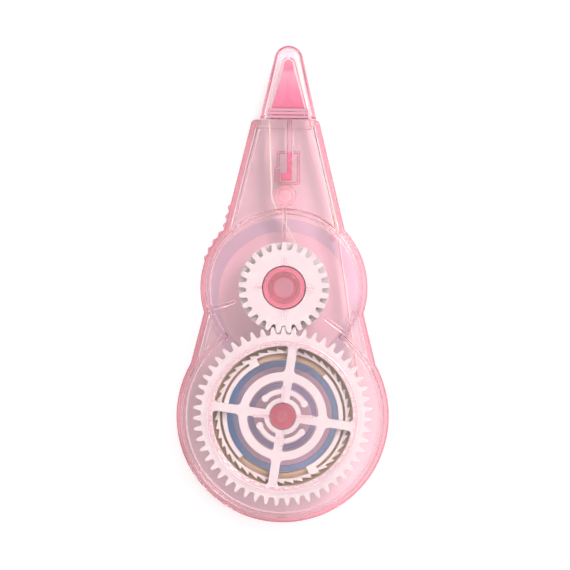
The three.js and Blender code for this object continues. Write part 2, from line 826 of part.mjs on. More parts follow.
// Cap outline, drawn in by an inset: straight sides that run tangent into a round apex.
function capOutline(inset, drop) {
  const centre = new THREE.Vector2(headShift, capApexY - capApexRadius);
  const base = new THREE.Vector2(headShift + capBaseHalfWidth, capBaseY);
  const reach = Math.acos(capApexRadius / base.distanceTo(centre)) * 180 / Math.PI;
  const tangent = angleAt(centre, base) + reach;
  const lean = Math.tan(radians(tangent));
  const halfWidth = capBaseHalfWidth - inset / Math.cos(radians(tangent)) + drop * lean;
  return [
    new THREE.Vector2(headShift - halfWidth, capBaseY - drop),
    new THREE.Vector2(headShift + halfWidth, capBaseY - drop),
    ...arc(centre, capApexRadius - inset, tangent, 180 - tangent),
  ];
}

function capBody(inset, drop) {
  const low = tapeMiddle - capBaseHalfDepth;
  const high = tapeMiddle + capBaseHalfDepth;
  const slope = (capBaseHalfDepth - capApexHalfDepth) / capLength;
  const foot = capBaseHalfDepth - inset + drop * slope;
  const top = capApexHalfDepth - inset;
  const profile = [
    new THREE.Vector2(capBaseY - drop, tapeMiddle - foot),
    new THREE.Vector2(capApexY, tapeMiddle - top),
    new THREE.Vector2(capApexY, tapeMiddle + top),
    new THREE.Vector2(capBaseY - drop, tapeMiddle + foot),
  ];
  const plan = plate(capOutline(inset, drop), low - overlap, high + overlap);
  const side = crossPlate(profile, headShift - capBaseHalfWidth * 2, headShift + capBaseHalfWidth * 2);
  return plan.intersect(side);
}

const cap = () => capBody(0, 0).subtract(capBody(capWall, overlap));

// Routes of the tape: over the guides to the blade, and back past the boss to the take-up reel.
const bladeGuide = () => ({ centre: bladeCentre(), radius: bladeHalfWidth + tapeOffset });

function freshRoute() {
  return ribbonRoute([
    { centre: supplyAxis, radius: lapRadius },
    { centre: guidePostAxis, radius: guidePostRadius + tapeOffset },
    { centre: wallGuideCentre(), radius: -wallGuideRadius - tapeOffset },
    bladeGuide(),
  ], supplyLapSweep, bladeWrap);
}

function spentRoute() {
  const corner = new THREE.Vector2(
    headShift - headBaseHalfWidth + cornerGuideRadius,
    headBaseY + cornerGuideRadius,
  );
  return ribbonRoute([
    bladeGuide(),
    { centre: corner, radius: cornerGuideRadius + tapeOffset },
    { centre: bossAxis, radius: bossRadius + tapeOffset },
    { centre: takeUpAxis, radius: -spentLapRadius },
  ], bladeWrap, spentLapSweep);
}

const finish = (colour, roughness, opacity = 1) => new THREE.MeshStandardMaterial({
  color: colour,
  roughness,
  metalness: 0,
  opacity,
  transparent: opacity < 1,
});

function mesh(name, piece, material) {
  const data = piece.getMesh();
  const geometry = new THREE.BufferGeometry();
  geometry.setAttribute('position', new THREE.BufferAttribute(new Float32Array(data.vertProperties), 3));
  geometry.setIndex(new THREE.BufferAttribute(new Uint32Array(data.triVerts), 1));
  geometry.computeVertexNormals();
  const made = new THREE.Mesh(geometry, material);
  made.name = name;
  return made;
}

const fresh = freshRoute();
const spent = spentRoute();
console.log(`fresh tape: least gap to itself ${leastSelfGap(fresh).toFixed(2)} mm`);
console.log(`spent tape: least gap to itself ${leastSelfGap(spent).toFixed(2)} mm`);

const correctionTape = new THREE.Group();
correctionTape.add(
  mesh('rear_case', rearCase(), finish(0xf4aec0, 0.15, 0.5)),
  mesh('front_case', frontCase(), finish(0xfbe6ec, 0.1, 0.3)),
  mesh('cap', cap(), finish(0xf8c0ce, 0.12, 0.5)),
  mesh('head', head(), finish(0xfc97b5, 0.3, 0.9)),
  mesh('drive_gear', driveGear(), finish(0xf4e8eb, 0.4)),
  mesh('ratchet_flange', ratchetFlange(), finish(0xf7f2f4, 0.4)),
  mesh('supply_reel', supplyReel(), finish(0x9fa4bb, 0.2, 0.6)),
  mesh('tape_roll', tapeRoll(), finish(0xb4907f, 0.7)),
  mesh('take_up_gear', takeUpGear(), finish(0xf4e8eb, 0.4)),
  mesh('take_up_reel', takeUpReel(), finish(0xed8499, 0.3, 0.9)),
  mesh('spent_roll', spentRoll(), finish(0xd8c9c2, 0.6)),
  mesh('fresh_tape', ribbon(fresh, tapeBottom, tapeTop), finish(0xf3ece6, 0.6)),
  mesh('spent_tape', ribbon(spent, tapeBottom, tapeTop), finish(0xe2cfc6, 0.5)),
);

export default correctionTape;
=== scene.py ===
import math

import bmesh
import bpy
from mathutils import Matrix, Vector


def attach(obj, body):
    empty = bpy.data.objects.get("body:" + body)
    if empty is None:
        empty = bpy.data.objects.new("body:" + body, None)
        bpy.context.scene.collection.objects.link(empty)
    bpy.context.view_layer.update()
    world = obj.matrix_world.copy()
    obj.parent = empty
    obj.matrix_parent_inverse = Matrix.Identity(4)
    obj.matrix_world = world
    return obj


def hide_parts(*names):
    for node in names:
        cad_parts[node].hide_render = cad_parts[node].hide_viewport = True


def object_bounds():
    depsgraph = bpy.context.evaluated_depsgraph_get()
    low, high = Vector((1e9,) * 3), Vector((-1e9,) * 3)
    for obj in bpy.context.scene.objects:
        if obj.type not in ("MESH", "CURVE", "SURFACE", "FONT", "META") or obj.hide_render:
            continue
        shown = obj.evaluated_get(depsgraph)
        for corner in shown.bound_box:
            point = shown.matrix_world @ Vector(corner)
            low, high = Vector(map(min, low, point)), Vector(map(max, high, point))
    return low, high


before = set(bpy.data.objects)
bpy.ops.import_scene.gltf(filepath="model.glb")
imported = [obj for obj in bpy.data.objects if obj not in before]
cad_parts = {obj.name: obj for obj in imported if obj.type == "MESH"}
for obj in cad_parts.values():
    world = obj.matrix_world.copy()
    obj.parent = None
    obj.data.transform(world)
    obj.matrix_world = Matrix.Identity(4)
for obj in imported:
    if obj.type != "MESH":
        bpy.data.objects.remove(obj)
cad_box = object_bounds()
scene = bpy.context.scene
scene.view_settings.view_transform = "Standard"


# Camera, floor and light.
# The tape lies on its back on a white table and is seen from straight above, as in the photograph.
# Two soft boxes, two small lamps and a pale sky light it. Table and sky look white to the camera.
photo_width = 0.10135
photo_centre = (0.00019, 0.02328)
photo_turn = math.radians(0.55)
camera_height = 2.0
lens_plane = 0.006
sensor = 36.0
table_size = 1.2
table_gap = 0.00002
most_bounces = 24

camera_data = bpy.data.cameras.new("camera")
camera_data.sensor_width = sensor
camera_data.lens = sensor * (camera_height - lens_plane) / photo_width
camera_data.clip_end = 10.0
camera = bpy.data.objects.new("camera", camera_data)
camera.location = (*photo_centre, camera_height)
camera.rotation_euler = (0.0, 0.0, photo_turn)
scene.collection.objects.link(camera)
scene.camera = camera


def soft_box(name, place, wide, high, watts):
    """An oblong lamp that looks at the tape."""
    lamp = bpy.data.lights.new(name, "AREA")
    lamp.shape = "RECTANGLE"
    lamp.energy = watts
    lamp.size = wide
    lamp.size_y = high
    box = bpy.data.objects.new(name, lamp)
    box.location = place
    x, y, z = Vector(place).normalized()
    box.rotation_euler = (-math.asin(y), math.atan2(x, z), 0.0)
    box.visible_camera = False
    scene.collection.objects.link(box)


soft_box("key_light", (0.3, 0.32, 0.85), wide=0.26, high=0.26, watts=2.6)
soft_box("fill_light", (-0.55, -0.3, 0.8), wide=0.9, high=0.9, watts=1.3)
soft_box("sparkle_light", (-0.2, 0.3, 0.9), wide=0.06, high=0.06, watts=0.35)
soft_box("window_light", (0.062, 0.03, 2.1), wide=0.08, high=0.24, watts=0.08)


def join(output, entry):
    """Links one node's output to another's input."""
    output.id_data.links.new(output, entry)


def added(tree, kind, inputs=None, **settings):
    """A new node with its settings, and with inputs fed by other nodes' outputs or set to plain values."""
    node = tree.nodes.new(kind)
    for setting, value in settings.items():
        setattr(node, setting, value)
    for entry, value in (inputs or {}).items():
        if isinstance(value, bpy.types.NodeSocket):
            join(value, node.inputs[entry])
        else:
            node.inputs[entry].default_value = value
    return node


def seen_white(tree):
    """1 for what the camera sees itself, in a reflection or through glass, else 0."""
    rays = tree.nodes.new("ShaderNodeLightPath").outputs
    seen = rays["Is Camera Ray"]
    for way in ("Is Glossy Ray", "Is Transmission Ray"):
        seen = added(tree, "ShaderNodeMath", {0: seen, 1: rays[way]}, operation="MAXIMUM").outputs[0]
    return seen


world = bpy.data.worlds.new("studio")
world.use_nodes = True
scene.world = world
sky = world.node_tree.nodes["Background"]
sky.inputs["Color"].default_value = (1.0, 1.0, 1.0, 1.0)
sky_range = {"Value": seen_white(world.node_tree), "To Min": 0.5, "To Max": 1.0}
sky_level = added(world.node_tree, "ShaderNodeMapRange", sky_range)
join(sky_level.outputs["Result"], sky.inputs["Strength"])

table_paint = bpy.data.materials.new("table_paint")
table_paint.use_nodes = True
matt = table_paint.node_tree.nodes["Principled BSDF"]
matt.inputs["Base Color"].default_value = (0.8, 0.8, 0.8, 1.0)
matt.inputs["Roughness"].default_value = 0.9
matt.inputs["Specular IOR Level"].default_value = 0.0
matt.inputs["Emission Color"].default_value = (1.0, 1.0, 1.0, 1.0)
table_glow = {0: seen_white(table_paint.node_tree), 1: 0.48}
glow = added(table_paint.node_tree, "ShaderNodeMath", table_glow, operation="MULTIPLY")
join(glow.outputs[0], matt.inputs["Emission Strength"])

table_mesh = bpy.data.meshes.new("table")
half_table = table_size / 2
table_mesh.from_pydata(
    [(x * half_table, y * half_table, 0) for x, y in ((-1, -1), (1, -1), (1, 1), (-1, 1))],
    [],
    [(0, 1, 2, 3)],
)
table_mesh.materials.append(table_paint)
table = bpy.data.objects.new("table", table_mesh)
table.location.z = cad_box[0][2] - table_gap
scene.collection.objects.link(table)

scene.cycles.max_bounces = most_bounces
scene.cycles.glossy_bounces = most_bounces
scene.cycles.transmission_bounces = most_bounces
scene.cycles.transparent_max_bounces = most_bounces


# Rear case.
# The back shell is one moulding of pink see-through polystyrene: floor, side wall, two axle posts,
# neck socket, boss, ribbon guides, grip ridges and the tongue that the cap slides on.
# Sizes from here on are in millimetres, and settle() sets a finished piece down in metres.
axle_spacing = 22.8
supply_axis = Vector((0.0, 0.0))
take_up_axis = Vector((0.0, axle_spacing))
supply_lobe = 18.85
take_up_lobe = 14.85
flank_start = 29.5
flank_end = -17.6
mouth_y = 52.6
neck_half_width = 5.95
neck_slope = math.radians(13.75)
neck_corner = 0.9
case_wall = 0.9
floor_top = 1.2
rear_wall_top = 9.15
shell_edge = 0.35
pad_centre = Vector((0.0, 21.15))
pad_radius = 11.66
pad_top = 1.5
reel_room = 15.35
guide_top = 8.0
post_top = 11.5
supply_post = 2.25
pin_socket = 1.3
pin_socket_floor = 8.9
take_up_post = 2.6
post_core = 1.8
post_core_top = 10.3
boss = Vector((0.1, 39.15))
boss_radius = 1.94
boss_bore = 1.07
guide_post = Vector((8.55, 31.7))
guide_post_radius = 0.6
wall_guide = Vector((5.96, 50.0))
wall_guide_radius = 0.5
head_shift = 0.45
tongue_half_width = 3.55
tongue_end = 54.4
tongue_root = 50.6
rear_tongue_low = 1.25
rear_tongue_high = 1.85
mouth_left = 4.4
mouth_right = 5.0
plate_top = 10.5
socket_left = -1.5
socket_right = 2.6
socket_foot = 41.1
socket_top = 47.1
socket_wall = 0.5
stem_slot_left = 0.0
stem_slot_right = 1.5
stem_slot_foot = 44.1
lug_width = 0.35
lug_height = 2.5
ridge_radius = 0.6
ridge_proud = 0.35
ridge_pitch = 1.65
neck_ridge_count = 3
first_neck_ridge = Vector((-9.54, 36.9))
lobe_ridge_count = 4
first_lobe_ridge = 140.2
ridge_inset = 0.9
fine_edge = 0.05
moulded_edge = 0.08
slim_edge = 0.12
wide_edge = 0.2
soft_edge = 0.25
rim_steps = 2
wide_rim_steps = 6
sharpest_mitre = 0.4
least_corner = 0.1
sunk = 0.2
smoothness = 0.0015
crisp_angle = math.radians(20)
flat_normal = 0.995
millimetres = 1000.0


def polar(centre, radius, angle):
    turn = math.radians(angle)
    return Vector((centre.x + radius * math.cos(turn), centre.y + radius * math.sin(turn)))


def arc(centre, radius, start, end):
    """Points of an arc, angles in degrees, close enough for its chords not to show."""
    step = math.degrees(2 * math.acos(1 - smoothness / radius))
    count = max(2, math.ceil(abs(end - start) / step))
    return [polar(centre, radius, start + (end - start) * i / count) for i in range(count + 1)]


def circle(centre, radius):
    return arc(centre, radius, 0, 360)[:-1]


def mirrored(points, across_x=-1, across_y=1):
    """The points in backward order, mirrored left to right or, with 1 and -1, top to bottom."""
    return [Vector((across_x * point.x, across_y * point.y)) for point in reversed(points)]


def oblong(left, foot, right, top):
    return [Vector(corner) for corner in ((left, foot), (right, foot), (right, top), (left, top))]


def angle_of(centre, point):
    return math.degrees(math.atan2(point.y - centre.y, point.x - centre.x))


def meet(point, angle, centre, radius, end):
    """Where a straight edge through a point crosses a circle, at its far end (1) or near end (-1)."""
    way = polar(Vector((0.0, 0.0)), 1.0, angle)
    offset = point - centre
    along = offset.dot(way)
    reach = math.sqrt(along * along - offset.length_squared + radius * radius)
    return point + way * (end * reach - along)


def case_edge(inset):
    """Edge of the case drawn in by a distance: two round lobes, straight flanks and the tapered neck."""
    lower = supply_lobe - inset
    upper = take_up_lobe - inset
    foot = polar(supply_axis, supply_lobe, flank_start)
    slant = angle_of(foot, polar(take_up_axis, take_up_lobe, flank_end))
    on_flank = polar(foot, inset, slant + 90)
    flank_foot = meet(on_flank, slant, supply_axis, lower, 1)
    flank_head = meet(on_flank, slant, take_up_axis, upper, -1)
    neck_way = 90 + math.degrees(neck_slope)
    on_neck = polar(Vector((neck_half_width, mouth_y)), inset, neck_way + 90)
    neck_foot = meet(on_neck, neck_way, take_up_axis, upper, 1)
    turn = max(neck_corner - inset, least_corner)
    corner_y = mouth_y - inset - turn
    lean = math.tan(neck_slope)
    side_x = on_neck.x - (corner_y - on_neck.y) * lean
    corner = Vector((side_x - turn / math.cos(neck_slope), corner_y))
    right = [
        *arc(supply_axis, lower, -90, angle_of(supply_axis, flank_foot)),
        *arc(take_up_axis, upper, angle_of(take_up_axis, flank_head), angle_of(take_up_axis, neck_foot)),
        *arc(corner, turn, math.degrees(neck_slope), 90),
    ]
    return right + mirrored(right[1:])


def drawn_in(loop, depth):
    """The loop moved to its left-hand side by a depth, with mitred corners."""
    moved = []
    for before, point, after in zip([loop[-1], *loop[:-1]], loop, [*loop[1:], loop[0]]):
        come = (point - before).normalized()
        go = (after - point).normalized()
        side = Vector((-come.y - go.y, come.x + go.x))
        moved.append(point + side * depth / max(1.0 + come.dot(go), sharpest_mitre))
    return moved


def wound(loop, left_handed):
    """The loop run the way that keeps the material on its left."""
    area = sum(a.x * b.y - b.x * a.y for a, b in zip(loop, [*loop[1:], loop[0]]))
    return loop if (area > 0) == left_handed else loop[::-1]


def as_object(name, mesh_data):
    mesh = bpy.data.meshes.new(name)
    mesh_data.to_mesh(mesh)
    mesh_data.free()
    part = bpy.data.objects.new(name, mesh)
    scene.collection.objects.link(part)
    return part


def plate(outline, low, high, holes=(), edge=moulded_edge, lean=0.0):
    """A flat outline raised from one level to another, its rims rounded, drawn in by the lean at its top."""
    steps = rim_steps if edge < wide_edge else wide_rim_steps
    bends = [math.radians(90 * i / steps) for i in range(steps + 1)]
    levels = [(edge * (1 - math.sin(bend)), low + edge * (1 - math.cos(bend))) for bend in bends]
    levels += [(depth, high + low - z) for depth, z in reversed(levels)]
    if edge == 0:
        levels = [(0.0, low), (0.0, high)]
    foot = max(-lean, 0.0)
    levels = [(depth + foot + lean * (z - low) / (high - low), z) for depth, z in levels]
    solid = bmesh.new()
    rims = ([], [])
    for loop in [wound(outline, True), *(wound(hole, False) for hole in holes)]:
        rings = [[solid.verts.new((*point, z)) for point in drawn_in(loop, depth)] for depth, z in levels]
        for below, above in zip(rings, rings[1:]):
            for i in range(len(loop)):
                solid.faces.new((below[i - 1], below[i], above[i], above[i - 1]))
        for rim, loop_end in zip(rims, (rings[0], rings[-1])):
            rim.extend(solid.edges.get((loop_end[i - 1], loop_end[i])) for i in range(len(loop)))
    for rim in rims:
        bmesh.ops.triangle_fill(solid, use_beauty=True, edges=rim)
    bmesh.ops.recalc_face_normals(solid, faces=solid.faces)
    return as_object("plate", solid)


def disc(centre, radius, low, high, edge=moulded_edge):
    return plate(circle(centre, radius), low, high, edge=edge)


def ring(centre, outer, inner, low, high, edge=moulded_edge):
    return plate(circle(centre, outer), low, high, [circle(centre, inner)], edge)


def plain_copy(part, name):
    """The part as its modifiers leave it, as a plain mesh under a new name."""
    graph = bpy.context.evaluated_depsgraph_get()
    mesh = bpy.data.meshes.new_from_object(part.evaluated_get(graph))
    copy = bpy.data.objects.new(name, mesh)
    scene.collection.objects.link(copy)
    return copy


def fused(name, joined, cut=()):
    """One moulding: the parts joined, and what is cut from them taken out."""
    whole = joined[0]
    for tools, operation in ((joined[1:], "UNION"), (cut, "DIFFERENCE")):
        for tool in tools:
            step = whole.modifiers.new(operation, "BOOLEAN")
            step.solver = "MANIFOLD"
            step.operation = operation
            step.object = tool
    piece = plain_copy(whole, name)
    for part in (*joined, *cut):
        bpy.data.objects.remove(part)
    return piece


def settle(piece, plastic):
    """Sets a finished piece down in metres, with crisp edges, in its plastic."""
    piece.data.transform(Matrix.Scale(1 / millimetres, 4))
    piece.data.shade_smooth()
    piece.data.set_sharp_from_angle(angle=crisp_angle)
    for face in piece.data.polygons:
        face.use_smooth = abs(face.normal.z) < flat_normal
    piece.data.materials.clear()
    piece.data.materials.append(plastic)
    return piece


def moulded(name, plastic, joined, cut=()):
    """A finished moulding in its plastic: the parts joined, and what is cut from them taken out."""
    return settle(fused(name, joined, cut), plastic)


def tree_with_sockets(name, inputs, output):
    """A node tree for meshes, with named inputs of given kinds and the mesh that it gives back."""
    tree = bpy.data.node_groups.new(name, "GeometryNodeTree")
    for socket, kind in inputs.items():
        tree.interface.new_socket(socket, in_out="INPUT", socket_type="NodeSocket" + kind)
    tree.interface.new_socket(output, in_out="OUTPUT", socket_type="NodeSocketGeometry")
    return tree


def remade(part, name, tree, given):
    """The part as a node tree with the given inputs remakes it, as a plain mesh under a new name."""
    modifier = part.modifiers.new(name, "NODES")
    modifier.node_group = tree
    for socket in tree.interface.items_tree:
        if socket.name in given and socket.in_out == "INPUT":
            modifier[socket.identifier] = given[socket.name]
    made = plain_copy(part, name)
    bpy.data.objects.remove(part)
    return made


def handed_over(tree, mesh, plastic, output):
    """Ends a node tree: its copies are made real and painted, and are what it gives back."""
    real = added(tree, "GeometryNodeRealizeInstances", {0: mesh})
    paint = added(tree, "GeometryNodeSetMaterial", {"Geometry": real.outputs[0], "Material": plastic})
    added(tree, "NodeGroupOutput", {output: paint.outputs[0]})
    return tree


def copies_tree():
    """Node tree that sets copies of a mesh round a centre or along a row and makes them one mesh."""
    inputs = {
        "Part": "Geometry",
        "Count": "Int",
        "First Angle": "Float",
        "Angle Step": "Float",
        "Centre": "Vector",
        "Shift": "Vector",
        "Plastic": "Material",
    }
    tree = tree_with_sockets("copies_in_a_pattern", inputs, "Copies")
    given = tree.nodes.new("NodeGroupInput").outputs
    index = tree.nodes.new("GeometryNodeInputIndex").outputs[0]
    row = {0: given["Shift"], 1: index, 2: given["Centre"]}
    place = added(tree, "ShaderNodeVectorMath", row, operation="MULTIPLY_ADD")
    points = added(tree, "GeometryNodePoints", {"Count": given["Count"], "Position": place.outputs[0]})
    fan = {0: index, 1: given["Angle Step"], 2: given["First Angle"]}
    angle = added(tree, "ShaderNodeMath", fan, operation="MULTIPLY_ADD")
    turn = added(tree, "ShaderNodeCombineXYZ", {"Z": angle.outputs[0]})
    spread = {"Points": points.outputs[0], "Instance": given["Part"], "Rotation": turn.outputs[0]}
    instances = added(tree, "GeometryNodeInstanceOnPoints", spread)
    return handed_over(tree, instances.outputs[0], given["Plastic"], "Copies")


copies_in_a_pattern = copies_tree()


def copies(part, plastic, count, centre, first=0.0, step=0.0, shift=Vector((0.0, 0.0))):
    """Copies of a part drawn from the axis along +X: each next one is turned and shifted a step further."""
    given = {
        "Count": count,
        "First Angle": math.radians(first),
        "Angle Step": math.radians(step),
        "Centre": (*centre, 0.0),
        "Shift": (*shift, 0.0),
        "Plastic": plastic,
    }
    return remade(part, "copies", copies_in_a_pattern, given)


def finish(name):
    """A new material with its surface and the piece's own coordinates."""
    made = bpy.data.materials.new(name)
    made.use_nodes = True
    place = made.node_tree.nodes.new("ShaderNodeTexCoord")
    return made, made.node_tree.nodes["Principled BSDF"], place.outputs["Object"]


def unevenness(place, scale, detail=2.0, output="Fac"):
    """Soft irregular noise over a piece."""
    noise = {"Vector": place, "Scale": scale, "Detail": detail}
    return added(place.id_data, "ShaderNodeTexNoise", noise).outputs[output]


def two_tones(share, target, first, second):
    """Feeds a socket with a colour that runs from the first tone to the second, as the share says."""
    tones = {"Factor": share, "A": (*first, 1.0), "B": (*second, 1.0)}
    join(added(share.id_data, "ShaderNodeMix", tones, data_type="RGBA").outputs["Result"], target)


def between(share, target, least, most):
    """Feeds a socket with a value that runs from least to most, as the share says."""
    span = added(share.id_data, "ShaderNodeMapRange", {"Value": share, "To Min": least, "To Max": most})
    join(span.outputs["Result"], target)


def relief(height, surface, strength, depth):
    """Raises and sinks a surface a little."""
    raised = {"Height": height, "Strength": strength, "Distance": depth}
    bump = added(height.id_data, "ShaderNodeBump", raised)
    join(bump.outputs["Normal"], surface.inputs["Normal"])


def clear_plastic(name, tint, strength, light, shade, roughness):
    """See-through moulded plastic: absorbs by thickness, with faint flow marks and fine wear in its gloss."""
    plastic, surface, place = finish(name)
    tree = plastic.node_tree
    surface.inputs["Transmission Weight"].default_value = 1.0
    surface.inputs["IOR"].default_value = 1.45
    clouds = unevenness(place, scale=90.0)
    two_tones(clouds, surface.inputs["Base Color"], light, shade)
    wear = unevenness(place, scale=700.0, detail=3.0)
    between(wear, surface.inputs["Roughness"], least=roughness * 0.6, most=roughness * 1.4)
    relief(clouds, surface, strength=0.02, depth=0.00005)
    shadow = tree.nodes.new("ShaderNodeLightPath").outputs["Is Shadow Ray"]
    for_lamps = added(tree, "ShaderNodeBsdfTransparent", {"Color": (0.95, 0.92, 0.93, 1.0)})
    either = {"Fac": shadow, 1: surface.outputs[0], 2: for_lamps.outputs[0]}
    choice = added(tree, "ShaderNodeMixShader", either)
    join(choice.outputs[0], tree.nodes["Material Output"].inputs["Surface"])
    inside = added(tree, "ShaderNodeVolumeAbsorption", {"Color": (*tint, 1.0), "Density": strength})
    join(inside.outputs[0], tree.nodes["Material Output"].inputs["Volume"])
    return plastic


def overlay(colour, share, tone):
    """Multiplies what feeds a colour socket by a tone, as far as the share says."""
    layers = {"Factor": share, "A": colour.links[0].from_socket, "B": tone}
    blend = added(colour.id_data, "ShaderNodeMix", layers, data_type="RGBA", blend_type="MULTIPLY")
    join(blend.outputs["Result"], colour)


def laid_bare(plastic):
    """Of a finished plastic: its node tree, its colour socket and its own coordinates."""
    tree = plastic.node_tree
    place = tree.nodes["Texture Coordinate"].outputs["Object"]
    return tree, tree.nodes["Principled BSDF"].inputs["Base Color"], place


def toned_along(plastic, axis, stops):
    """Makes the colour of a plastic run through tones along an axis of the case; on the shells and the supply
    reel these tones are painted light and shade.
    """
    tree, base, place = laid_bare(plastic)
    split = added(tree, "ShaderNodeSeparateXYZ", {0: place})
    first, last = stops[0][0], stops[-1][0]
    span = {"Value": split.outputs[axis], "From Min": first / millimetres, "From Max": last / millimetres}
    reach = added(tree, "ShaderNodeMapRange", span)
    fade = added(tree, "ShaderNodeValToRGB", {"Fac": reach.outputs["Result"]})
    tones = fade.color_ramp.elements
    for n, (at, colour) in enumerate(stops):
        share = (at - first) / (last - first)
        tone = tones.new(share) if 0 < n < len(stops) - 1 else tones[0 if n == 0 else -1]
        tone.color = (*colour, 1.0)
    overlay(base, 1.0, fade.outputs["Color"])


def light_and_shade_in_rings(plastic, tints):
    """Paints light and shade onto a plastic inside rings on the case's middle line: centre y, inner and outer
    radius, tint.
    """
    tree, base, place = laid_bare(plastic)
    flat = added(tree, "ShaderNodeVectorMath", {0: place, 1: (1.0, 1.0, 0.0)}, operation="MULTIPLY")
    for centre_y, inner, outer, tint in tints:
        ends = {0: flat.outputs[0], 1: (0.0, centre_y / millimetres, 0.0)}
        reach = added(tree, "ShaderNodeVectorMath", ends, operation="DISTANCE").outputs["Value"]
        within = {0: reach, 1: (inner + outer) / 2 / millimetres, 2: (outer - inner) / 2 / millimetres}
        share = added(tree, "ShaderNodeMath", within, operation="COMPARE").outputs[0]
        overlay(base, share, (*tint, 1.0))


pink_shell = clear_plastic(
    "pink_shell",
    tint=(0.94, 0.03, 0.2),
    strength=62.0,
    light=(0.99, 0.81, 0.86),
    shade=(0.96, 0.76, 0.81),
    roughness=0.05,
)
# Outer edge of the band of painted shade round the pad, and radius of the painted light in the middle of the
# supply post.
painted_shade_band_edge = 13.9
painted_light_post_core = 1.0
# Painted light and shade on the rear shell: across X its colour darkens towards the left and the middle, and
# along Y it darkens from the supply axle up to the waist and lightens at the bottom and the neck top, where
# factors over 1 add light.
across = ((-19, 1.0), (-17.4, 0.74), (-6, 0.71), (0, 0.77), (8, 0.9), (12, 0.98), (19, 1.0))
along = ((-20, 1.12), (-12, 1.02), (0, 0.9), (14, 0.84), (22, 1.0), (44, 1.02), (52.4, 1.12), (55, 1.12))
toned_along(pink_shell, "X", [(x, (depth, depth, depth)) for x, depth in across])
toned_along(pink_shell, "Y", [(y, (depth, depth, depth)) for y, depth in along])
# Painted light and shade in rings: the pad a little lighter, a lilac-grey band of painted shade round it, and
# the axle posts and the boss lightened by painted light, with factors over 1.
light_and_shade_in_rings(
    pink_shell,
    [
        (pad_centre.y, 0.0, pad_radius, (1.04, 0.98, 1.0)),
        (pad_centre.y, pad_radius, painted_shade_band_edge, (0.86, 0.86, 0.94)),
        (0.0, 0.0, painted_light_post_core, (1.3, 1.06, 1.12)),
        (0.0, painted_light_post_core, supply_post, (1.3, 0.8, 0.87)),
        (axle_spacing, 0.0, take_up_post, (1.3, 0.86, 0.93)),
        (boss.y, 0.0, boss_radius, (1.28, 1.4, 1.36)),
    ],
)


def socket_walls():
    """Frame that holds the head's hook, open above for the stem, with a lug on its left."""
    outside = oblong(socket_left, socket_foot, socket_right, socket_top)
    inside = drawn_in(outside, socket_wall)
    slot = oblong(stem_slot_left, stem_slot_foot, stem_slot_right, mouth_y)
    lug_foot = socket_foot + socket_wall
    lug = oblong(socket_left - lug_width, lug_foot, socket_left + socket_wall / 2, lug_foot + lug_height)
    return fused(
        "socket",
        [
            plate(outside, floor_top - sunk, guide_top, [inside], wide_edge),
            plate(lug, floor_top - sunk, guide_top, edge=wide_edge),
        ],
        [plate(slot, floor_top, guide_top + sunk, edge=0)],
    )


def grip_ridges():
    """Upright ridges stepped down the left edge, where the thumb holds the tape."""
    top = rear_wall_top - ridge_inset
    reach = take_up_lobe - ridge_radius + ridge_proud
    turn = math.degrees(ridge_pitch / reach)
    lobe_ridge = disc(Vector((reach, 0.0)), ridge_radius, ridge_inset, top, wide_edge)
    neck_ridge = disc(supply_axis, ridge_radius, ridge_inset, top, wide_edge)
    down_neck = polar(Vector((0.0, 0.0)), ridge_pitch, -90 - math.degrees(neck_slope))
    return [
        copies(lobe_ridge, pink_shell, lobe_ridge_count, take_up_axis, first_lobe_ridge, turn),
        copies(neck_ridge, pink_shell, neck_ridge_count, first_neck_ridge, shift=down_neck),
    ]


def tongue(low, high, root_low, root_high):
    """Flat tongue that the cap slides on, with its root in the neck."""
    left = head_shift - tongue_half_width
    right = head_shift + tongue_half_width
    return [
        plate(oblong(left, tongue_root, right, tongue_end), low, high, edge=slim_edge),
        plate(oblong(left, tongue_root, right, mouth_y), root_low, root_high, edge=fine_edge),
    ]


mouth = oblong(-mouth_left, mouth_y - case_wall - sunk, mouth_right, mouth_y + sunk)
rear_shell = moulded(
    "rear_shell",
    pink_shell,
    [
        plate(case_edge(0), 0, floor_top, edge=shell_edge),
        plate(case_edge(0), floor_top - shell_edge - sunk, rear_wall_top, [case_edge(case_wall)]),
        fused(
            "pad",
            [disc(pad_centre, pad_radius, floor_top - sunk, pad_top)],
            [disc(supply_axis, reel_room, floor_top, pad_top + sunk, 0)],
        ),
        fused(
            "supply_post",
            [disc(supply_axis, supply_post, floor_top - sunk, post_top, wide_edge)],
            [disc(supply_axis, pin_socket, pin_socket_floor, post_top + sunk, 0)],
        ),
        disc(take_up_axis, take_up_post, floor_top - sunk, post_top, soft_edge),
        ring(boss, boss_radius, boss_bore, floor_top - sunk, guide_top, soft_edge),
        disc(guide_post, guide_post_radius, floor_top - sunk, guide_top),
        disc(wall_guide, wall_guide_radius, floor_top - sunk, guide_top),
        socket_walls(),
        *grip_ridges(),
        *tongue(rear_tongue_low, rear_tongue_high, floor_top - sunk, rear_tongue_high),
    ],
    [
        plate(mouth, rear_tongue_high, plate_top, edge=0),
        disc(take_up_axis, post_core, -sunk, post_core_top, 0),
    ],
)
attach(rear_shell, "case")
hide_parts("rear_case")


# Supply reel.
# Blue see-through plastic, moulded in one: back flange and web, the core that carries the roll,
# the collar that the clutch arms rub on, and the hub that turns on the supply axle.
reel_bottom = 1.5
reel_flange_top = 2.3
reel_flange = 14.45
reel_hub_bore = 2.4
reel_hub = 3.3
reel_hub_top = 6.3
reel_core = 9.75
reel_core_bore = 8.8
collar = 5.95
collar_bore = 5.2
ratchet_top = 8.7

blue_plastic = clear_plastic(
    "blue_reel",
    tint=(0.05, 0.57, 0.9),
    strength=105.0,
    light=(0.8, 0.88, 0.93),
    shade=(0.72, 0.83, 0.9),
    roughness=0.08,
)
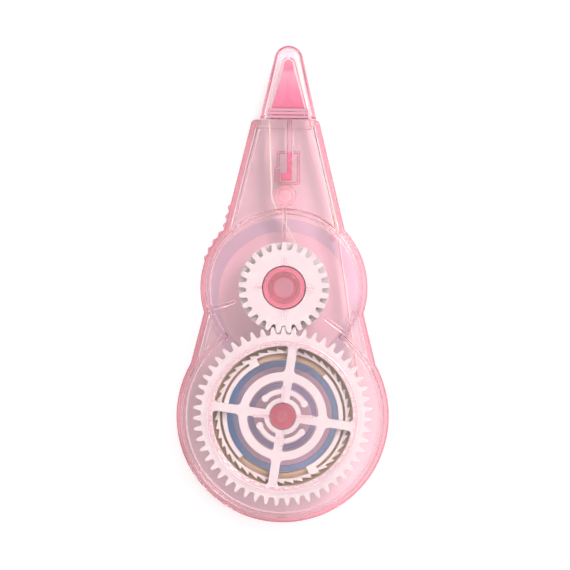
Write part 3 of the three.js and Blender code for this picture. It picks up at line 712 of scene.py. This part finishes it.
# Painted shade: the blue reel darkens to a deeper blue towards its left side.
painted_shade_left = (
    (-11, (0.35, 0.72, 1.0)),
    (-8.5, (0.6, 0.85, 1.0)),
    (-5, (1.0, 1.0, 1.0)),
    (11, (1.0, 1.0, 1.0)),
)
toned_along(blue_plastic, "X", painted_shade_left)
# Painted light: inside the core the web is painted pinker, its red raised by a factor over 1, for the pink
# floor seen through it.
light_and_shade_in_rings(blue_plastic, [(0.0, 0.0, reel_core_bore, (1.24, 0.9, 0.9))])
supply_reel = moulded(
    "blue_supply_reel",
    blue_plastic,
    [
        ring(supply_axis, reel_flange, reel_hub_bore, reel_bottom, reel_flange_top),
        ring(supply_axis, reel_core, reel_core_bore, reel_bottom, ratchet_top),
        ring(supply_axis, collar, collar_bore, reel_bottom, ratchet_top),
        ring(supply_axis, reel_hub, reel_hub_bore, reel_bottom, reel_hub_top),
    ],
)
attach(supply_reel, "supply")
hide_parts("supply_reel")


# Roll of fresh tape.
# Many turns of white film on brown carrier paper, seen on edge: fine rings of light and dark brown.
# The outer lap is part of the ribbon that runs to the head.
roll = 13.7
roll_bore = 10.05
tape_bottom = 2.6
tape_top = 7.6
turns_per_metre = 2600.0


def wound_edge(name, light, dark, centre_y):
    """Edge of a wound ribbon: fine rings round the axle, uneven from turn to turn."""
    paper, surface, place = finish(name)
    tree = paper.node_tree
    middle = {"Vector": place, "Location": (0.0, -centre_y, 0.0)}
    centre = added(tree, "ShaderNodeMapping", middle).outputs["Vector"]
    rings = {"Vector": centre, "Scale": turns_per_metre / 10, "Distortion": 1.5}
    rings |= {"Detail": 3.0, "Detail Scale": 3.0}
    turns = added(tree, "ShaderNodeTexWave", rings, wave_type="RINGS", rings_direction="Z").outputs["Fac"]
    bands = unevenness(centre, scale=260.0)
    both = added(tree, "ShaderNodeMath", {0: turns, 1: bands}, operation="MULTIPLY")
    two_tones(both.outputs[0], surface.inputs["Base Color"], dark, light)
    between(bands, surface.inputs["Roughness"], least=0.55, most=0.8)
    relief(turns, surface, strength=0.4, depth=0.00004)
    return paper


roll_paper = wound_edge("tape_edge", light=(0.78, 0.6, 0.43), dark=(0.46, 0.32, 0.21), centre_y=0.0)
tape_roll = settle(ring(supply_axis, roll, roll_bore, tape_bottom, tape_top, fine_edge), roll_paper)
tape_roll.name = "wound_tape_roll"
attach(tape_roll, "supply")
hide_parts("tape_roll")


# Saw-toothed ring.
# A thin white acetal ring that lies on the reel core: its teeth click past the clear notches,
# and its two long arms grip the core.
ratchet_bottom = 7.9
saw_count = 45
saw_tip = 12.1
saw_root = 11.5
saw_bore = 11.15
saw_edge = 0.03
saw_ring_edge = 0.06
grip_arm_inner = 9.9
grip_arm_outer = 10.7
grip_arm_count = 2
grip_arm_start = 115
grip_arm_sweep = 110
grip_arm_root_sweep = 9
tooth_clear = 0.2


def band(centre, inner, outer, start, end, low, high, edge=moulded_edge):
    """Curved strip between two radii and two angles."""
    outline = [*arc(centre, outer, start, end), *arc(centre, inner, end, start)]
    return plate(outline, low, high, edge=edge)


def white_plastic(name, light, shade, roughness):
    """White moulded acetal: slightly uneven in tone, satin, with faint flow marks."""
    plastic, surface, place = finish(name)
    surface.inputs["IOR"].default_value = 1.48
    surface.inputs["Subsurface Weight"].default_value = 0.15
    surface.inputs["Subsurface Radius"].default_value = (0.001, 0.0006, 0.0006)
    surface.inputs["Subsurface Scale"].default_value = 0.5
    clouds = unevenness(place, scale=220.0, detail=3.0)
    two_tones(clouds, surface.inputs["Base Color"], light, shade)
    grain = unevenness(place, scale=4000.0)
    between(grain, surface.inputs["Roughness"], least=roughness - 0.08, most=roughness + 0.08)
    relief(grain, surface, strength=0.15, depth=0.00002)
    return plastic


clutch_plastic = white_plastic(
    "white_clutch", light=(0.84, 0.8, 0.78), shade=(0.78, 0.73, 0.71), roughness=0.38
)
saw_pitch = 360 / saw_count
saw_tooth = plate(
    [
        polar(supply_axis, saw_root - tooth_clear, tooth_clear),
        polar(supply_axis, saw_root - tooth_clear, saw_pitch - tooth_clear),
        polar(supply_axis, saw_tip, saw_pitch - tooth_clear),
        polar(supply_axis, saw_root, tooth_clear),
    ],
    ratchet_bottom,
    ratchet_top,
    edge=saw_edge,
)
grip_arm_spans = (
    (grip_arm_inner, grip_arm_outer, grip_arm_sweep),
    (grip_arm_inner + sunk, saw_bore + sunk, grip_arm_root_sweep),
)
grip_arm = fused(
    "grip_arm",
    [
        band(supply_axis, inner, outer, 0, sweep, ratchet_bottom, ratchet_top)
        for inner, outer, sweep in grip_arm_spans
    ],
)
ratchet = moulded(
    "saw_toothed_ring",
    clutch_plastic,
    [
        ring(supply_axis, saw_root, saw_bore, ratchet_bottom, ratchet_top, saw_ring_edge),
        copies(saw_tooth, clutch_plastic, saw_count, supply_axis, 0, saw_pitch),
        copies(grip_arm, clutch_plastic, grip_arm_count, supply_axis, grip_arm_start, 180),
    ],
)
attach(ratchet, "supply")
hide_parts("ratchet_flange")


# Drive gear.
# The large white acetal gear turns on the supply axle: toothed rim, four spokes with flared ends,
# middle ring, hub, and four curved spring arms that drag the reel's collar round.
gear_module = 0.6
pressure_angle = math.radians(16)
foot_round = 0.32
tip_round = 0.27
addendum = 0.6
dedendum = 0.75
drive_teeth = 51
drive_tooth_share = 0.41
gear_bottom = 9.0
gear_top = 10.8
drive_rim_bore = 12.45
middle_ring = 7.85
middle_ring_bore = 6.3
spoke_half_width = 0.8
spoke_turn = 82
spoke_count = 4
spoke_flare = 0.75
spoke_hub_flare = 0.35
spring_arm = 4.4
spring_arm_width = 0.95
spring_arm_tip = 0.65
spring_arm_bottom = 7.4
spring_arm_spans = ((82, 135), (82, 30), (262, 203), (262, 320))
drive_hub_bottom = 6.6
tooth_foot = 0.3
tooth_steps = 5
inner_spoke_sunk = 0.1
outer_spoke_sunk = 0.15
sharp_flare = 0.01
gear_edge = 0.1


def gear_tooth(teeth, share):
    """One involute tooth along +X, its tip rounded and its foot flared into the rim."""
    pitch = gear_module * teeth / 2
    base = pitch * math.cos(pressure_angle)
    root = pitch - dedendum
    tip = pitch + addendum
    middle = Vector((0.0, 0.0))

    def half_width(radius):
        rolled = math.acos(min(1.0, base / radius))
        turned = math.tan(pressure_angle) - pressure_angle - math.tan(rolled) + rolled
        return radius * (math.pi * share / teeth + turned)

    def point(radius, width):
        return polar(middle, radius, math.degrees(width / radius))

    foot = root + foot_round
    crown = tip - tip_round
    quarter = [math.radians(90 * i / tooth_steps) for i in range(tooth_steps + 1)]
    flank = [foot + (crown - foot) * i / tooth_steps for i in range(1, tooth_steps + 1)]
    upper = [
        point(root - tooth_foot, half_width(foot) + foot_round),
        *(
            point(foot - foot_round * math.cos(turn), half_width(foot) + foot_round * (1 - math.sin(turn)))
            for turn in quarter
        ),
        *(point(radius, half_width(radius)) for radius in flank),
        *(
            point(crown + tip_round * math.sin(turn), half_width(crown) - tip_round * (1 - math.cos(turn)))
            for turn in quarter[1:]
        ),
    ]
    return upper + mirrored(upper, 1, -1)


def flared_bar(start, end, half_width, start_flare, end_flare):
    """Straight bar along +X whose ends widen into what they join."""
    far = arc(Vector((end - end_flare, half_width + end_flare)), end_flare, 0, -90)
    near = arc(Vector((start + start_flare, half_width + start_flare)), start_flare, -90, -180)
    upper = [Vector((end + sunk, half_width + end_flare)), *far, *near]
    upper.append(Vector((start - sunk, half_width + start_flare)))
    return upper + mirrored(upper, 1, -1)


def toothed_rim(centre, teeth, share, bore, first_tooth, plastic):
    """Rim of a gear with its teeth."""
    root = gear_module * teeth / 2 - dedendum
    tooth = plate(gear_tooth(teeth, share), gear_bottom, gear_top, edge=gear_edge)
    return [
        ring(centre, root, bore, gear_bottom, gear_top, gear_edge),
        copies(tooth, plastic, teeth, centre, first_tooth, 360 / teeth),
    ]


def spring_arms():
    """Curved arms round the hub, each from the end of a spoke to its own rounded tip."""
    parts = []
    inner = spring_arm - spring_arm_width / 2
    outer = spring_arm + spring_arm_width / 2
    for span in spring_arm_spans:
        tip = polar(supply_axis, spring_arm, span[1])
        parts += [
            band(supply_axis, inner, outer, *sorted(span), spring_arm_bottom, gear_top, slim_edge),
            disc(tip, spring_arm_tip, spring_arm_bottom, gear_top, slim_edge),
        ]
    return parts


gear_plastic = white_plastic("white_gear", light=(0.76, 0.72, 0.72), shade=(0.71, 0.66, 0.66), roughness=0.42)
spoke_spans = (
    (reel_hub - sunk, middle_ring_bore - inner_spoke_sunk, sharp_flare, spoke_hub_flare),
    (middle_ring - outer_spoke_sunk, drive_rim_bore, spoke_flare, spoke_flare),
)
spokes = [
    plate(flared_bar(start, end, spoke_half_width, *flares), gear_bottom, gear_top, edge=gear_edge)
    for start, end, *flares in spoke_spans
]
drive_gear = moulded(
    "white_drive_gear",
    gear_plastic,
    [
        *toothed_rim(supply_axis, drive_teeth, drive_tooth_share, drive_rim_bore, 90, gear_plastic),
        ring(supply_axis, middle_ring, middle_ring_bore, gear_bottom, gear_top, gear_edge),
        ring(supply_axis, reel_hub, reel_hub_bore, drive_hub_bottom, gear_top, gear_edge),
        *(copies(spoke, gear_plastic, spoke_count, supply_axis, spoke_turn, 90) for spoke in spokes),
        *spring_arms(),
    ],
)
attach(drive_gear, "drive")
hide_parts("drive_gear")


# Take-up reel.
# Deep pink, cloudy plastic: a thin flange, the drum that winds the used ribbon, and a snout that
# comes up through the small gear. It turns on the second axle.
take_up_bore = 2.75
take_up_bottom = 1.8
take_up_flange = 7.4
drum = 4.5
drum_top = 7.75
snout = 3.75
snout_edge = 0.15


def cloudy_plastic(name, light, shade, clear, roughness):
    """Coloured plastic that lets some light through, so that its depth shows at the edges."""
    plastic, surface, place = finish(name)
    surface.inputs["IOR"].default_value = 1.48
    surface.inputs["Transmission Weight"].default_value = clear
    clouds = unevenness(place, scale=300.0, detail=3.0)
    two_tones(clouds, surface.inputs["Base Color"], light, shade)
    between(clouds, surface.inputs["Roughness"], least=roughness * 0.7, most=roughness * 1.3)
    relief(clouds, surface, strength=0.1, depth=0.00003)
    return plastic


reel_pink = cloudy_plastic(
    "pink_reel", light=(0.93, 0.28, 0.38), shade=(0.86, 0.22, 0.32), clear=0.25, roughness=0.25
)
take_up_reel = moulded(
    "pink_take_up_reel",
    reel_pink,
    [
        ring(take_up_axis, take_up_flange, take_up_bore, take_up_bottom, reel_flange_top),
        ring(take_up_axis, drum, take_up_bore, take_up_bottom, drum_top),
        ring(take_up_axis, snout, take_up_bore, take_up_bottom, gear_top, snout_edge),
    ],
)
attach(take_up_reel, "take_up")
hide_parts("take_up_reel")


# Used ribbon on the take-up reel.
# A few turns of spent carrier paper round the pink drum, hidden under the small gear.
used_roll = 5.3
used_roll_bore = 4.8

carrier_paper = wound_edge(
    "carrier", light=(0.86, 0.76, 0.68), dark=(0.6, 0.46, 0.38), centre_y=axle_spacing / millimetres
)
used_winding = ring(take_up_axis, used_roll, used_roll_bore, tape_bottom, tape_top, fine_edge)
spent_roll = settle(used_winding, carrier_paper)
spent_roll.name = "wound_used_ribbon"
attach(spent_roll, "take_up")
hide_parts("spent_roll")


# Take-up gear.
# The small white acetal gear is pushed onto the reel's snout and meshes with the drive gear.
# A disc as wide as its teeth backs it and keeps the used ribbon in.
take_up_teeth = 25
take_up_tooth_share = 0.53
take_up_gear_bore = 3.9
backing = 8.1
backing_bottom = 8.0
backing_top = 8.6
backing_neck = 6.6
backing_edge = 0.06

tooth_in_gap = -90 + 180 / take_up_teeth
take_up_rim = (take_up_axis, take_up_teeth, take_up_tooth_share, take_up_gear_bore, tooth_in_gap)
take_up_gear = moulded(
    "white_take_up_gear",
    gear_plastic,
    [
        *toothed_rim(*take_up_rim, gear_plastic),
        ring(take_up_axis, backing_neck, take_up_gear_bore, backing_bottom, gear_bottom + sunk, fine_edge),
        ring(take_up_axis, backing, take_up_gear_bore, backing_bottom, backing_top, backing_edge),
    ],
)
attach(take_up_gear, "take_up")
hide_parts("take_up_gear")


# Transfer head.
# Strong pink springy plastic: a blade that presses the film down, between two side flanges that
# keep the ribbon on it, and a thin stem whose hook sits in the neck socket.
head_foot = 54.7
head_top = 61.4
head_foot_half = 2.93
head_top_half = 0.98
head_core_half = 2.0
blade_end = 63.3
blade_radius = 0.8
blade_low = 2.4
blade_high = 7.8
head_flange = 0.6
stem_left = 0.3
stem_right = 1.2
stem_foot = 41.9
stem_low = 3.0
stem_high = 7.2
hook_left = -0.7
hook_top = 43.2
head_rib_half = 0.22
head_rib_foot = 56.1
head_rib_top = 60.0
head_rib_height = 0.15
stem_bend = 47.0
stem_thin_top = 4.4
arch_foot = 0.3
arch_radius = 1.0
arch_width = 0.3
flange_sunk = 0.02
blade_centre = Vector((head_shift, blade_end - blade_radius))

head_tones = (
    (stem_foot, (1.0, 0.2, 0.36)),
    (46.6, (1.0, 0.2, 0.36)),
    (47.2, (0.98, 0.68, 0.76)),
    (54.0, (0.98, 0.62, 0.7)),
    (54.8, (0.98, 0.26, 0.42)),
    (57.5, (1.0, 0.32, 0.5)),
    (60.8, (1.0, 0.5, 0.63)),
    (61.6, (0.96, 0.3, 0.46)),
    (blade_end, (0.98, 0.4, 0.55)),
)
head_pink = cloudy_plastic(
    "pink_head", light=(1.0, 1.0, 1.0), shade=(0.97, 0.95, 0.96), clear=0.3, roughness=0.2
)
toned_along(head_pink, "Y", head_tones)
head_core = [
    Vector((head_shift - head_core_half, head_foot)),
    Vector((head_shift + head_core_half, head_foot)),
    *arc(blade_centre, blade_radius, 0, 180),
]
flange_outline = [
    Vector((head_shift - head_foot_half, head_foot)),
    Vector((head_shift + head_foot_half, head_foot)),
    Vector((head_shift + head_top_half, head_top)),
    Vector((head_shift - head_top_half, head_top)),
]
arch_centre = Vector((head_shift, head_foot + arch_foot))
rib_levels = (blade_high + head_flange - sunk, blade_high + head_flange + head_rib_height)
head = moulded(
    "transfer_head",
    head_pink,
    [
        plate(head_core, blade_low, blade_high, edge=fine_edge),
        plate(flange_outline, blade_low - head_flange, blade_low + flange_sunk, edge=slim_edge),
        plate(flange_outline, blade_high - flange_sunk, blade_high + head_flange, edge=slim_edge),
        plate(
            oblong(head_shift - head_rib_half, head_rib_foot, head_shift + head_rib_half, head_rib_top),
            *rib_levels,
        ),
        plate(oblong(stem_left, stem_foot, stem_right, stem_bend), stem_low, stem_high, edge=slim_edge),
        plate(
            oblong(stem_left, stem_bend - sunk, stem_right, head_foot + sunk),
            stem_low,
            stem_thin_top,
            edge=slim_edge,
        ),
        band(arch_centre, arch_radius, arch_radius + arch_width, 0, 180, *rib_levels, fine_edge),
        plate(oblong(hook_left, stem_foot, stem_right, hook_top), stem_low, stem_high, edge=slim_edge),
    ],
)
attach(head, "case")
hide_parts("head")


# Ribbon.
# Paper carrier with a white film on its outer side, 5 mm wide and standing on edge: one stretch runs
# from the roll over the guides to the blade, the other back past the boss to the take-up reel.
ribbon_thickness = 0.26
ribbon_offset = 0.45
roll_lap = 14.15
used_lap = 5.75
roll_lap_sweep = 340
used_lap_sweep = 300
blade_wrap = 62
corner_guide = 0.3
full_turn_slack = 1.0
least_sweep = 0.1
least_step = 0.02


def straight_run(start, end):
    """Angles where a straight run leaves one guide and meets the next. A minus radius turns clockwise."""
    between = end[0] - start[0]
    lean = math.degrees(math.acos((start[1] - end[1]) / between.length))
    normal = math.degrees(math.atan2(between.y, between.x)) - lean
    return normal + 180 * (start[1] < 0), normal + 180 * (end[1] < 0)


def ribbon_path(guides, start_sweep, end_sweep):
    """Middle line of a ribbon that runs round its guides in turn."""
    runs = [straight_run(start, end) for start, end in zip(guides, guides[1:])]
    path = []
    for i, (centre, radius) in enumerate(guides):
        way = 1 if radius > 0 else -1
        leave = runs[i][0] if i < len(runs) else runs[-1][1] + way * end_sweep
        arrive = runs[i - 1][1] if i > 0 else leave - way * start_sweep
        sweep = (way * (leave - arrive)) % 360
        sweep = sweep if sweep < 360 - full_turn_slack else least_sweep
        path += arc(centre, abs(radius), arrive, arrive + way * sweep)
    return path


def ribbon_tree():
    """Node tree that stands a ribbon on edge along a path and notes which side of it is which."""
    inputs = {"Path": "Geometry", "Thickness": "Float", "Width": "Float", "Film": "Material"}
    tree = tree_with_sockets("ribbon_on_edge", inputs, "Ribbon")
    given = tree.nodes.new("NodeGroupInput").outputs
    line = added(tree, "GeometryNodeMeshToCurve", {0: given["Path"]})
    upright = added(tree, "GeometryNodeSetCurveNormal", {0: line.outputs[0]}, mode="Z_UP")
    oblong_section = {"Width": given["Thickness"], "Height": given["Width"]}
    section = added(tree, "GeometryNodeCurvePrimitiveQuadrilateral", oblong_section)
    place = tree.nodes.new("GeometryNodeInputPosition").outputs[0]
    across = added(tree, "ShaderNodeSeparateXYZ", {0: place}).outputs["X"]
    share = added(tree, "ShaderNodeMath", {0: across, 1: given["Thickness"]}, operation="DIVIDE")
    noted = {"Geometry": section.outputs[0], "Name": "side", "Value": share.outputs[0]}
    side = added(tree, "GeometryNodeStoreNamedAttribute", noted)
    swept = {"Curve": upright.outputs[0], "Profile Curve": side.outputs[0], "Fill Caps": True}
    sweep = added(tree, "GeometryNodeCurveToMesh", swept)
    return handed_over(tree, sweep.outputs[0], given["Film"], "Ribbon")


ribbon_on_edge = ribbon_tree()


def ribbon(name, path, film):
    """A ribbon stood on edge along its middle line."""
    kept = [path[0]]
    for point in path:
        if (point - kept[-1]).length > least_step:
            kept.append(point)
    line = bmesh.new()
    marks = [line.verts.new((*point, (tape_bottom + tape_top) / 2)) for point in kept]
    for pair in zip(marks, marks[1:]):
        line.edges.new(pair)
    given = {"Thickness": ribbon_thickness, "Width": tape_top - tape_bottom, "Film": film}
    return settle(remade(as_object("path", line), name, ribbon_on_edge, given), film)


def two_sided_paper(name, outer, inner):
    """Paper whose outer side carries another colour than its inner side, with a faint grain."""
    paper, surface, place = finish(name)
    surface.inputs["Roughness"].default_value = 0.55
    base = surface.inputs["Base Color"]
    side = added(paper.node_tree, "ShaderNodeAttribute", attribute_name="side")
    turn_over = {"Value": side.outputs["Fac"], "From Min": -0.15, "From Max": 0.05}
    share = added(paper.node_tree, "ShaderNodeMapRange", turn_over)
    two_tones(share.outputs["Result"], base, inner, outer)
    overlay(base, 0.12, unevenness(place, scale=900.0, output="Color"))
    return paper


blade_guide = (blade_centre, blade_radius + ribbon_offset)
fresh_film = two_sided_paper("fresh_film", outer=(0.94, 0.91, 0.86), inner=(0.8, 0.24, 0.15))
fresh_guides = [
    (supply_axis, roll_lap),
    (guide_post, guide_post_radius + ribbon_offset),
    (wall_guide, -wall_guide_radius - ribbon_offset),
    blade_guide,
]
fresh_tape = ribbon("fresh_tape_run", ribbon_path(fresh_guides, roll_lap_sweep, blade_wrap), fresh_film)
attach(fresh_tape, "case")
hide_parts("fresh_tape")

used_film = two_sided_paper("used_carrier", outer=(0.88, 0.8, 0.74), inner=(0.8, 0.62, 0.54))
head_corner = Vector((head_shift - head_foot_half + corner_guide, head_foot + corner_guide))
used_guides = [
    blade_guide,
    (head_corner, corner_guide + ribbon_offset),
    (boss, boss_radius + ribbon_offset),
    (take_up_axis, -used_lap),
]
used_tape = ribbon("used_tape_run", ribbon_path(used_guides, blade_wrap, used_lap_sweep), used_film)
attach(used_tape, "case")
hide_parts("spent_tape")


# Front case.
# The front shell is one moulding of nearly clear plastic, faintly pink: the neck plate, the raised
# chambers over the gears, and ribs, pins and clips on its inner side that locate on the rear case.
case_top = 13.0
front_under = 9.3
chamber_under = 11.8
supply_chamber = 18.15
take_up_chamber = 14.15
chamber_wall = 0.85
chamber_edge_round = 0.5
chamber_lean = 0.12
chamber_hollow_edge = 0.3
chamber_hollow_lean = 0.1
chamber_cut = 1.0
lip_low = 8.3
lip_outer = 1.05
lip_inner = 1.75
lip_cut_foot = 51.5
lip_cut_top = 54.0
rib_angles = (90, 196.6, -36)
rib_inner = 8.9
rib_outer = 13.5
rib_width = 0.68
rib_top = 12.8
hub_rib_width = 0.5
hub_rib_spans = ((supply_axis, 2.4, 5.3), (take_up_axis, 3.9, 5.2))
hub_rib_count = 4
notch_bottom = 11.1
notch_outer = 13.4
notch_inner = 12.6
notch_count = 45
notch_depth = 0.35
notch_share = 0.5
rib_edge = 0.22
lock_pin = 1.0
lock_pin_low = 9.2
lock_slot = 0.4
lock_slot_top = 11.5
peg = 0.92
peg_low = 1.5
peg_edge = 0.15
clip_angles = (-90, 25, 155)
clip_inner = 17.1
clip_outer = 17.8
clip_width = 1.6
clip_low = 7.3
rail_low = 8.3
stem_rails = (
    (-0.1, 47.5, 0.15, 52.2),
    (1.35, 47.5, 1.6, 52.2),
    (0.5, 45.4, 1.7, 45.65),
    (0.5, 44.2, 1.7, 44.45),
    (-1.8, 43.9, -0.7, 44.15),
)
rail_lean = -0.04
front_tongue_low = 8.35
front_tongue_high = 8.95


def chamber_edge(inset):
    """Edge of the raised chambers: a circle round each axle, joined at a cusp on either side."""
    lower = supply_chamber - inset
    upper = take_up_chamber - inset
    cusp_y = (axle_spacing * axle_spacing + lower * lower - upper * upper) / (2 * axle_spacing)
    cusp = Vector((math.sqrt(lower * lower - cusp_y * cusp_y), cusp_y))
    right = [
        *arc(supply_axis, lower, -90, angle_of(supply_axis, cusp)),
        *arc(take_up_axis, upper, angle_of(take_up_axis, cusp), 90)[1:],
    ]
    return right + mirrored(right[1:-1])


def rounded_bar(centre, angle, inner, outer, width, low, high):
    """A straight bar that points away from an axis, its inner end rounded."""
    half = width / 2
    nose = arc(Vector((inner + half, 0.0)), half, 90, 270)
    bar = plate([*nose, Vector((outer, -half)), Vector((outer, half))], low, high, edge=rib_edge)
    bar.data.transform(Matrix.Translation((*centre, 0.0)) @ Matrix.Rotation(math.radians(angle), 4, "Z"))
    return bar


def notched_ring():
    """Clear ring over the saw-toothed one, its inner rim notched for the clicks."""
    inner = []
    for n in range(notch_count):
        start = 360 * n / notch_count
        end = start + 360 / notch_count * notch_share
        inner += [polar(supply_axis, notch_inner + notch_depth, turn) for turn in (start, end)]
        inner += [polar(supply_axis, notch_inner, turn) for turn in (end, start + 360 / notch_count)]
    return plate(circle(supply_axis, notch_outer), notch_bottom, chamber_under + sunk, [inner], wide_edge)


def lock_pins():
    """Cross-slotted pin that presses into the supply axle, and a peg for the boss."""
    pin = disc(supply_axis, lock_pin, lock_pin_low, chamber_under + sunk)
    reach = lock_pin + sunk
    half = lock_slot / 2
    slots = [
        plate(oblong(-x, -y, x, y), lock_pin_low - sunk, lock_slot_top, edge=0)
        for x, y in ((reach, half), (half, reach))
    ]
    return [fused("lock_pin", [pin], slots), disc(boss, peg, peg_low, front_under + sunk, peg_edge)]


clear_shell = clear_plastic(
    "clear_shell",
    tint=(0.93, 0.06, 0.2),
    strength=40.0,
    light=(1.0, 0.985, 0.99),
    shade=(0.99, 0.965, 0.975),
    roughness=0.04,
)
# Painted shade: the front shell is painted pinker between 11.0 and 11.7 mm up, on the sides of the ribs and
# the notched ring, for the darker look of clear walls seen on edge.
untinted = (1.0, 1.0, 1.0)
painted_rib_side_shade = (1.0, 0.72, 0.78)
painted_rib_shade = (
    (7.0, untinted),
    (10.9, untinted),
    (11.0, painted_rib_side_shade),
    (11.7, painted_rib_side_shade),
    (11.8, untinted),
    (13.0, untinted),
)
toned_along(clear_shell, "Z", painted_rib_shade)
lip = fused(
    "lip",
    [plate(case_edge(lip_outer), lip_low, front_under + sunk, [case_edge(lip_inner)], edge=soft_edge)],
    [plate(oblong(-mouth_left, lip_cut_foot, mouth_right, lip_cut_top), lip_low - sunk, front_under, edge=0)],
)
chamber_hollow = plate(
    chamber_edge(chamber_wall),
    front_under - chamber_cut,
    chamber_under,
    edge=chamber_hollow_edge,
    lean=chamber_hollow_lean,
)
shell = fused(
    "shell",
    [
        plate(case_edge(0), front_under, plate_top, edge=shell_edge),
        plate(chamber_edge(0), front_under, case_top, edge=chamber_edge_round, lean=chamber_lean),
    ],
    [chamber_hollow],
)
clip_half_sweep = math.degrees(clip_width / clip_outer) / 2
front_shell = moulded(
    "clear_front_shell",
    clear_shell,
    [
        shell,
        lip,
        notched_ring(),
        *(
            rounded_bar(take_up_axis, angle, rib_inner, rib_outer, rib_width, lip_low, rib_top)
            for angle in rib_angles
        ),
        *(
            rounded_bar(centre, 90 * n, inner, outer, hub_rib_width, notch_bottom, chamber_under + sunk)
            for centre, inner, outer in hub_rib_spans
            for n in range(hub_rib_count)
        ),
        *lock_pins(),
        *(
            band(
                supply_axis,
                clip_inner,
                clip_outer,
                angle - clip_half_sweep,
                angle + clip_half_sweep,
                clip_low,
                lip_low + sunk,
            )
            for angle in clip_angles
        ),
        *tongue(front_tongue_low, front_tongue_high, front_tongue_low, front_under + sunk),
        *(
            plate(oblong(*span), rail_low, front_under + sunk, edge=fine_edge, lean=rail_lean)
            for span in stem_rails
        ),
    ],
)
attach(front_shell, "case")
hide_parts("front_case")


# Cap.
# A pink see-through sleeve, closed and rounded over the blade. It grips the two tongues of the case
# and pulls straight off along the neck.
cap_base = 52.75
cap_base_half = 5.03
cap_apex = 65.85
cap_apex_radius = 2.6
cap_wall = 0.7
cap_base_depth = 4.7
cap_apex_depth = 4.1
cap_middle = 5.1
cap_round = 1.1
cap_hollow_round = 0.5
cap_mouth_cut = 0.5


def cap_body(inset, drop, edge):
    """The cap's outside or its hollow: tapered in plan, and a little in depth towards the tip."""
    centre = Vector((head_shift, cap_apex - cap_apex_radius))
    base = Vector((head_shift + cap_base_half, cap_base))
    touch = angle_of(centre, base) + math.degrees(math.acos(cap_apex_radius / (base - centre).length))
    lean = math.tan(math.radians(touch))
    half = cap_base_half - inset / math.cos(math.radians(touch)) + drop * lean
    outline = [
        Vector((head_shift - half, cap_base - drop)),
        Vector((head_shift + half, cap_base - drop)),
        *arc(centre, cap_apex_radius - inset, touch, 180 - touch),
    ]
    depth = cap_base_depth - inset
    slope = (cap_base_depth - cap_apex_depth) / (cap_apex - cap_base)
    body = plate(outline, -depth, depth, edge=edge)
    for vertex in body.data.vertices:
        thin = (depth - slope * (vertex.co.y - cap_base)) / depth
        vertex.co.z = cap_middle + vertex.co.z * thin
    return body


pink_cap = clear_plastic(
    "pink_cap",
    tint=(0.97, 0.1, 0.3),
    strength=62.0,
    light=(1.0, 0.93, 0.95),
    shade=(0.98, 0.89, 0.92),
    roughness=0.05,
)
cap_outside = cap_body(0.0, 0.0, cap_round)
cap_hollow = cap_body(cap_wall, cap_mouth_cut, cap_hollow_round)
tip_cap = moulded("pull_off_cap", pink_cap, [cap_outside], [cap_hollow])
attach(tip_cap, "cap")
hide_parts("cap")


# Grip ribs of the cap.
# Three low ribs across the cap's front face at its base, moulded with it. They are thick enough to
# look cloudy pink, and a finger pushes against them.
cap_rib_half = 3.6
cap_rib_width = 0.5
cap_rib_pitch = 0.62
first_cap_rib = 52.9
cap_rib_count = 3
cap_rib_low = cap_middle + cap_base_depth - 0.3
cap_rib_high = cap_middle + cap_base_depth + 0.12

cap_rib_pink = cloudy_plastic(
    "cap_rib_pink", light=(1.0, 0.47, 0.6), shade=(0.98, 0.43, 0.56), clear=0.0, roughness=0.3
)
cap_rib = plate(
    oblong(head_shift - cap_rib_half, 0.0, head_shift + cap_rib_half, cap_rib_width),
    cap_rib_low,
    cap_rib_high,
    edge=0.1,
)
first_place = Vector((0.0, first_cap_rib))
rib_step = Vector((0.0, cap_rib_pitch))
cap_ribs = settle(copies(cap_rib, cap_rib_pink, cap_rib_count, first_place, shift=rib_step), cap_rib_pink)
cap_ribs.name = "cap_grip_ribs"
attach(cap_ribs, "cap")
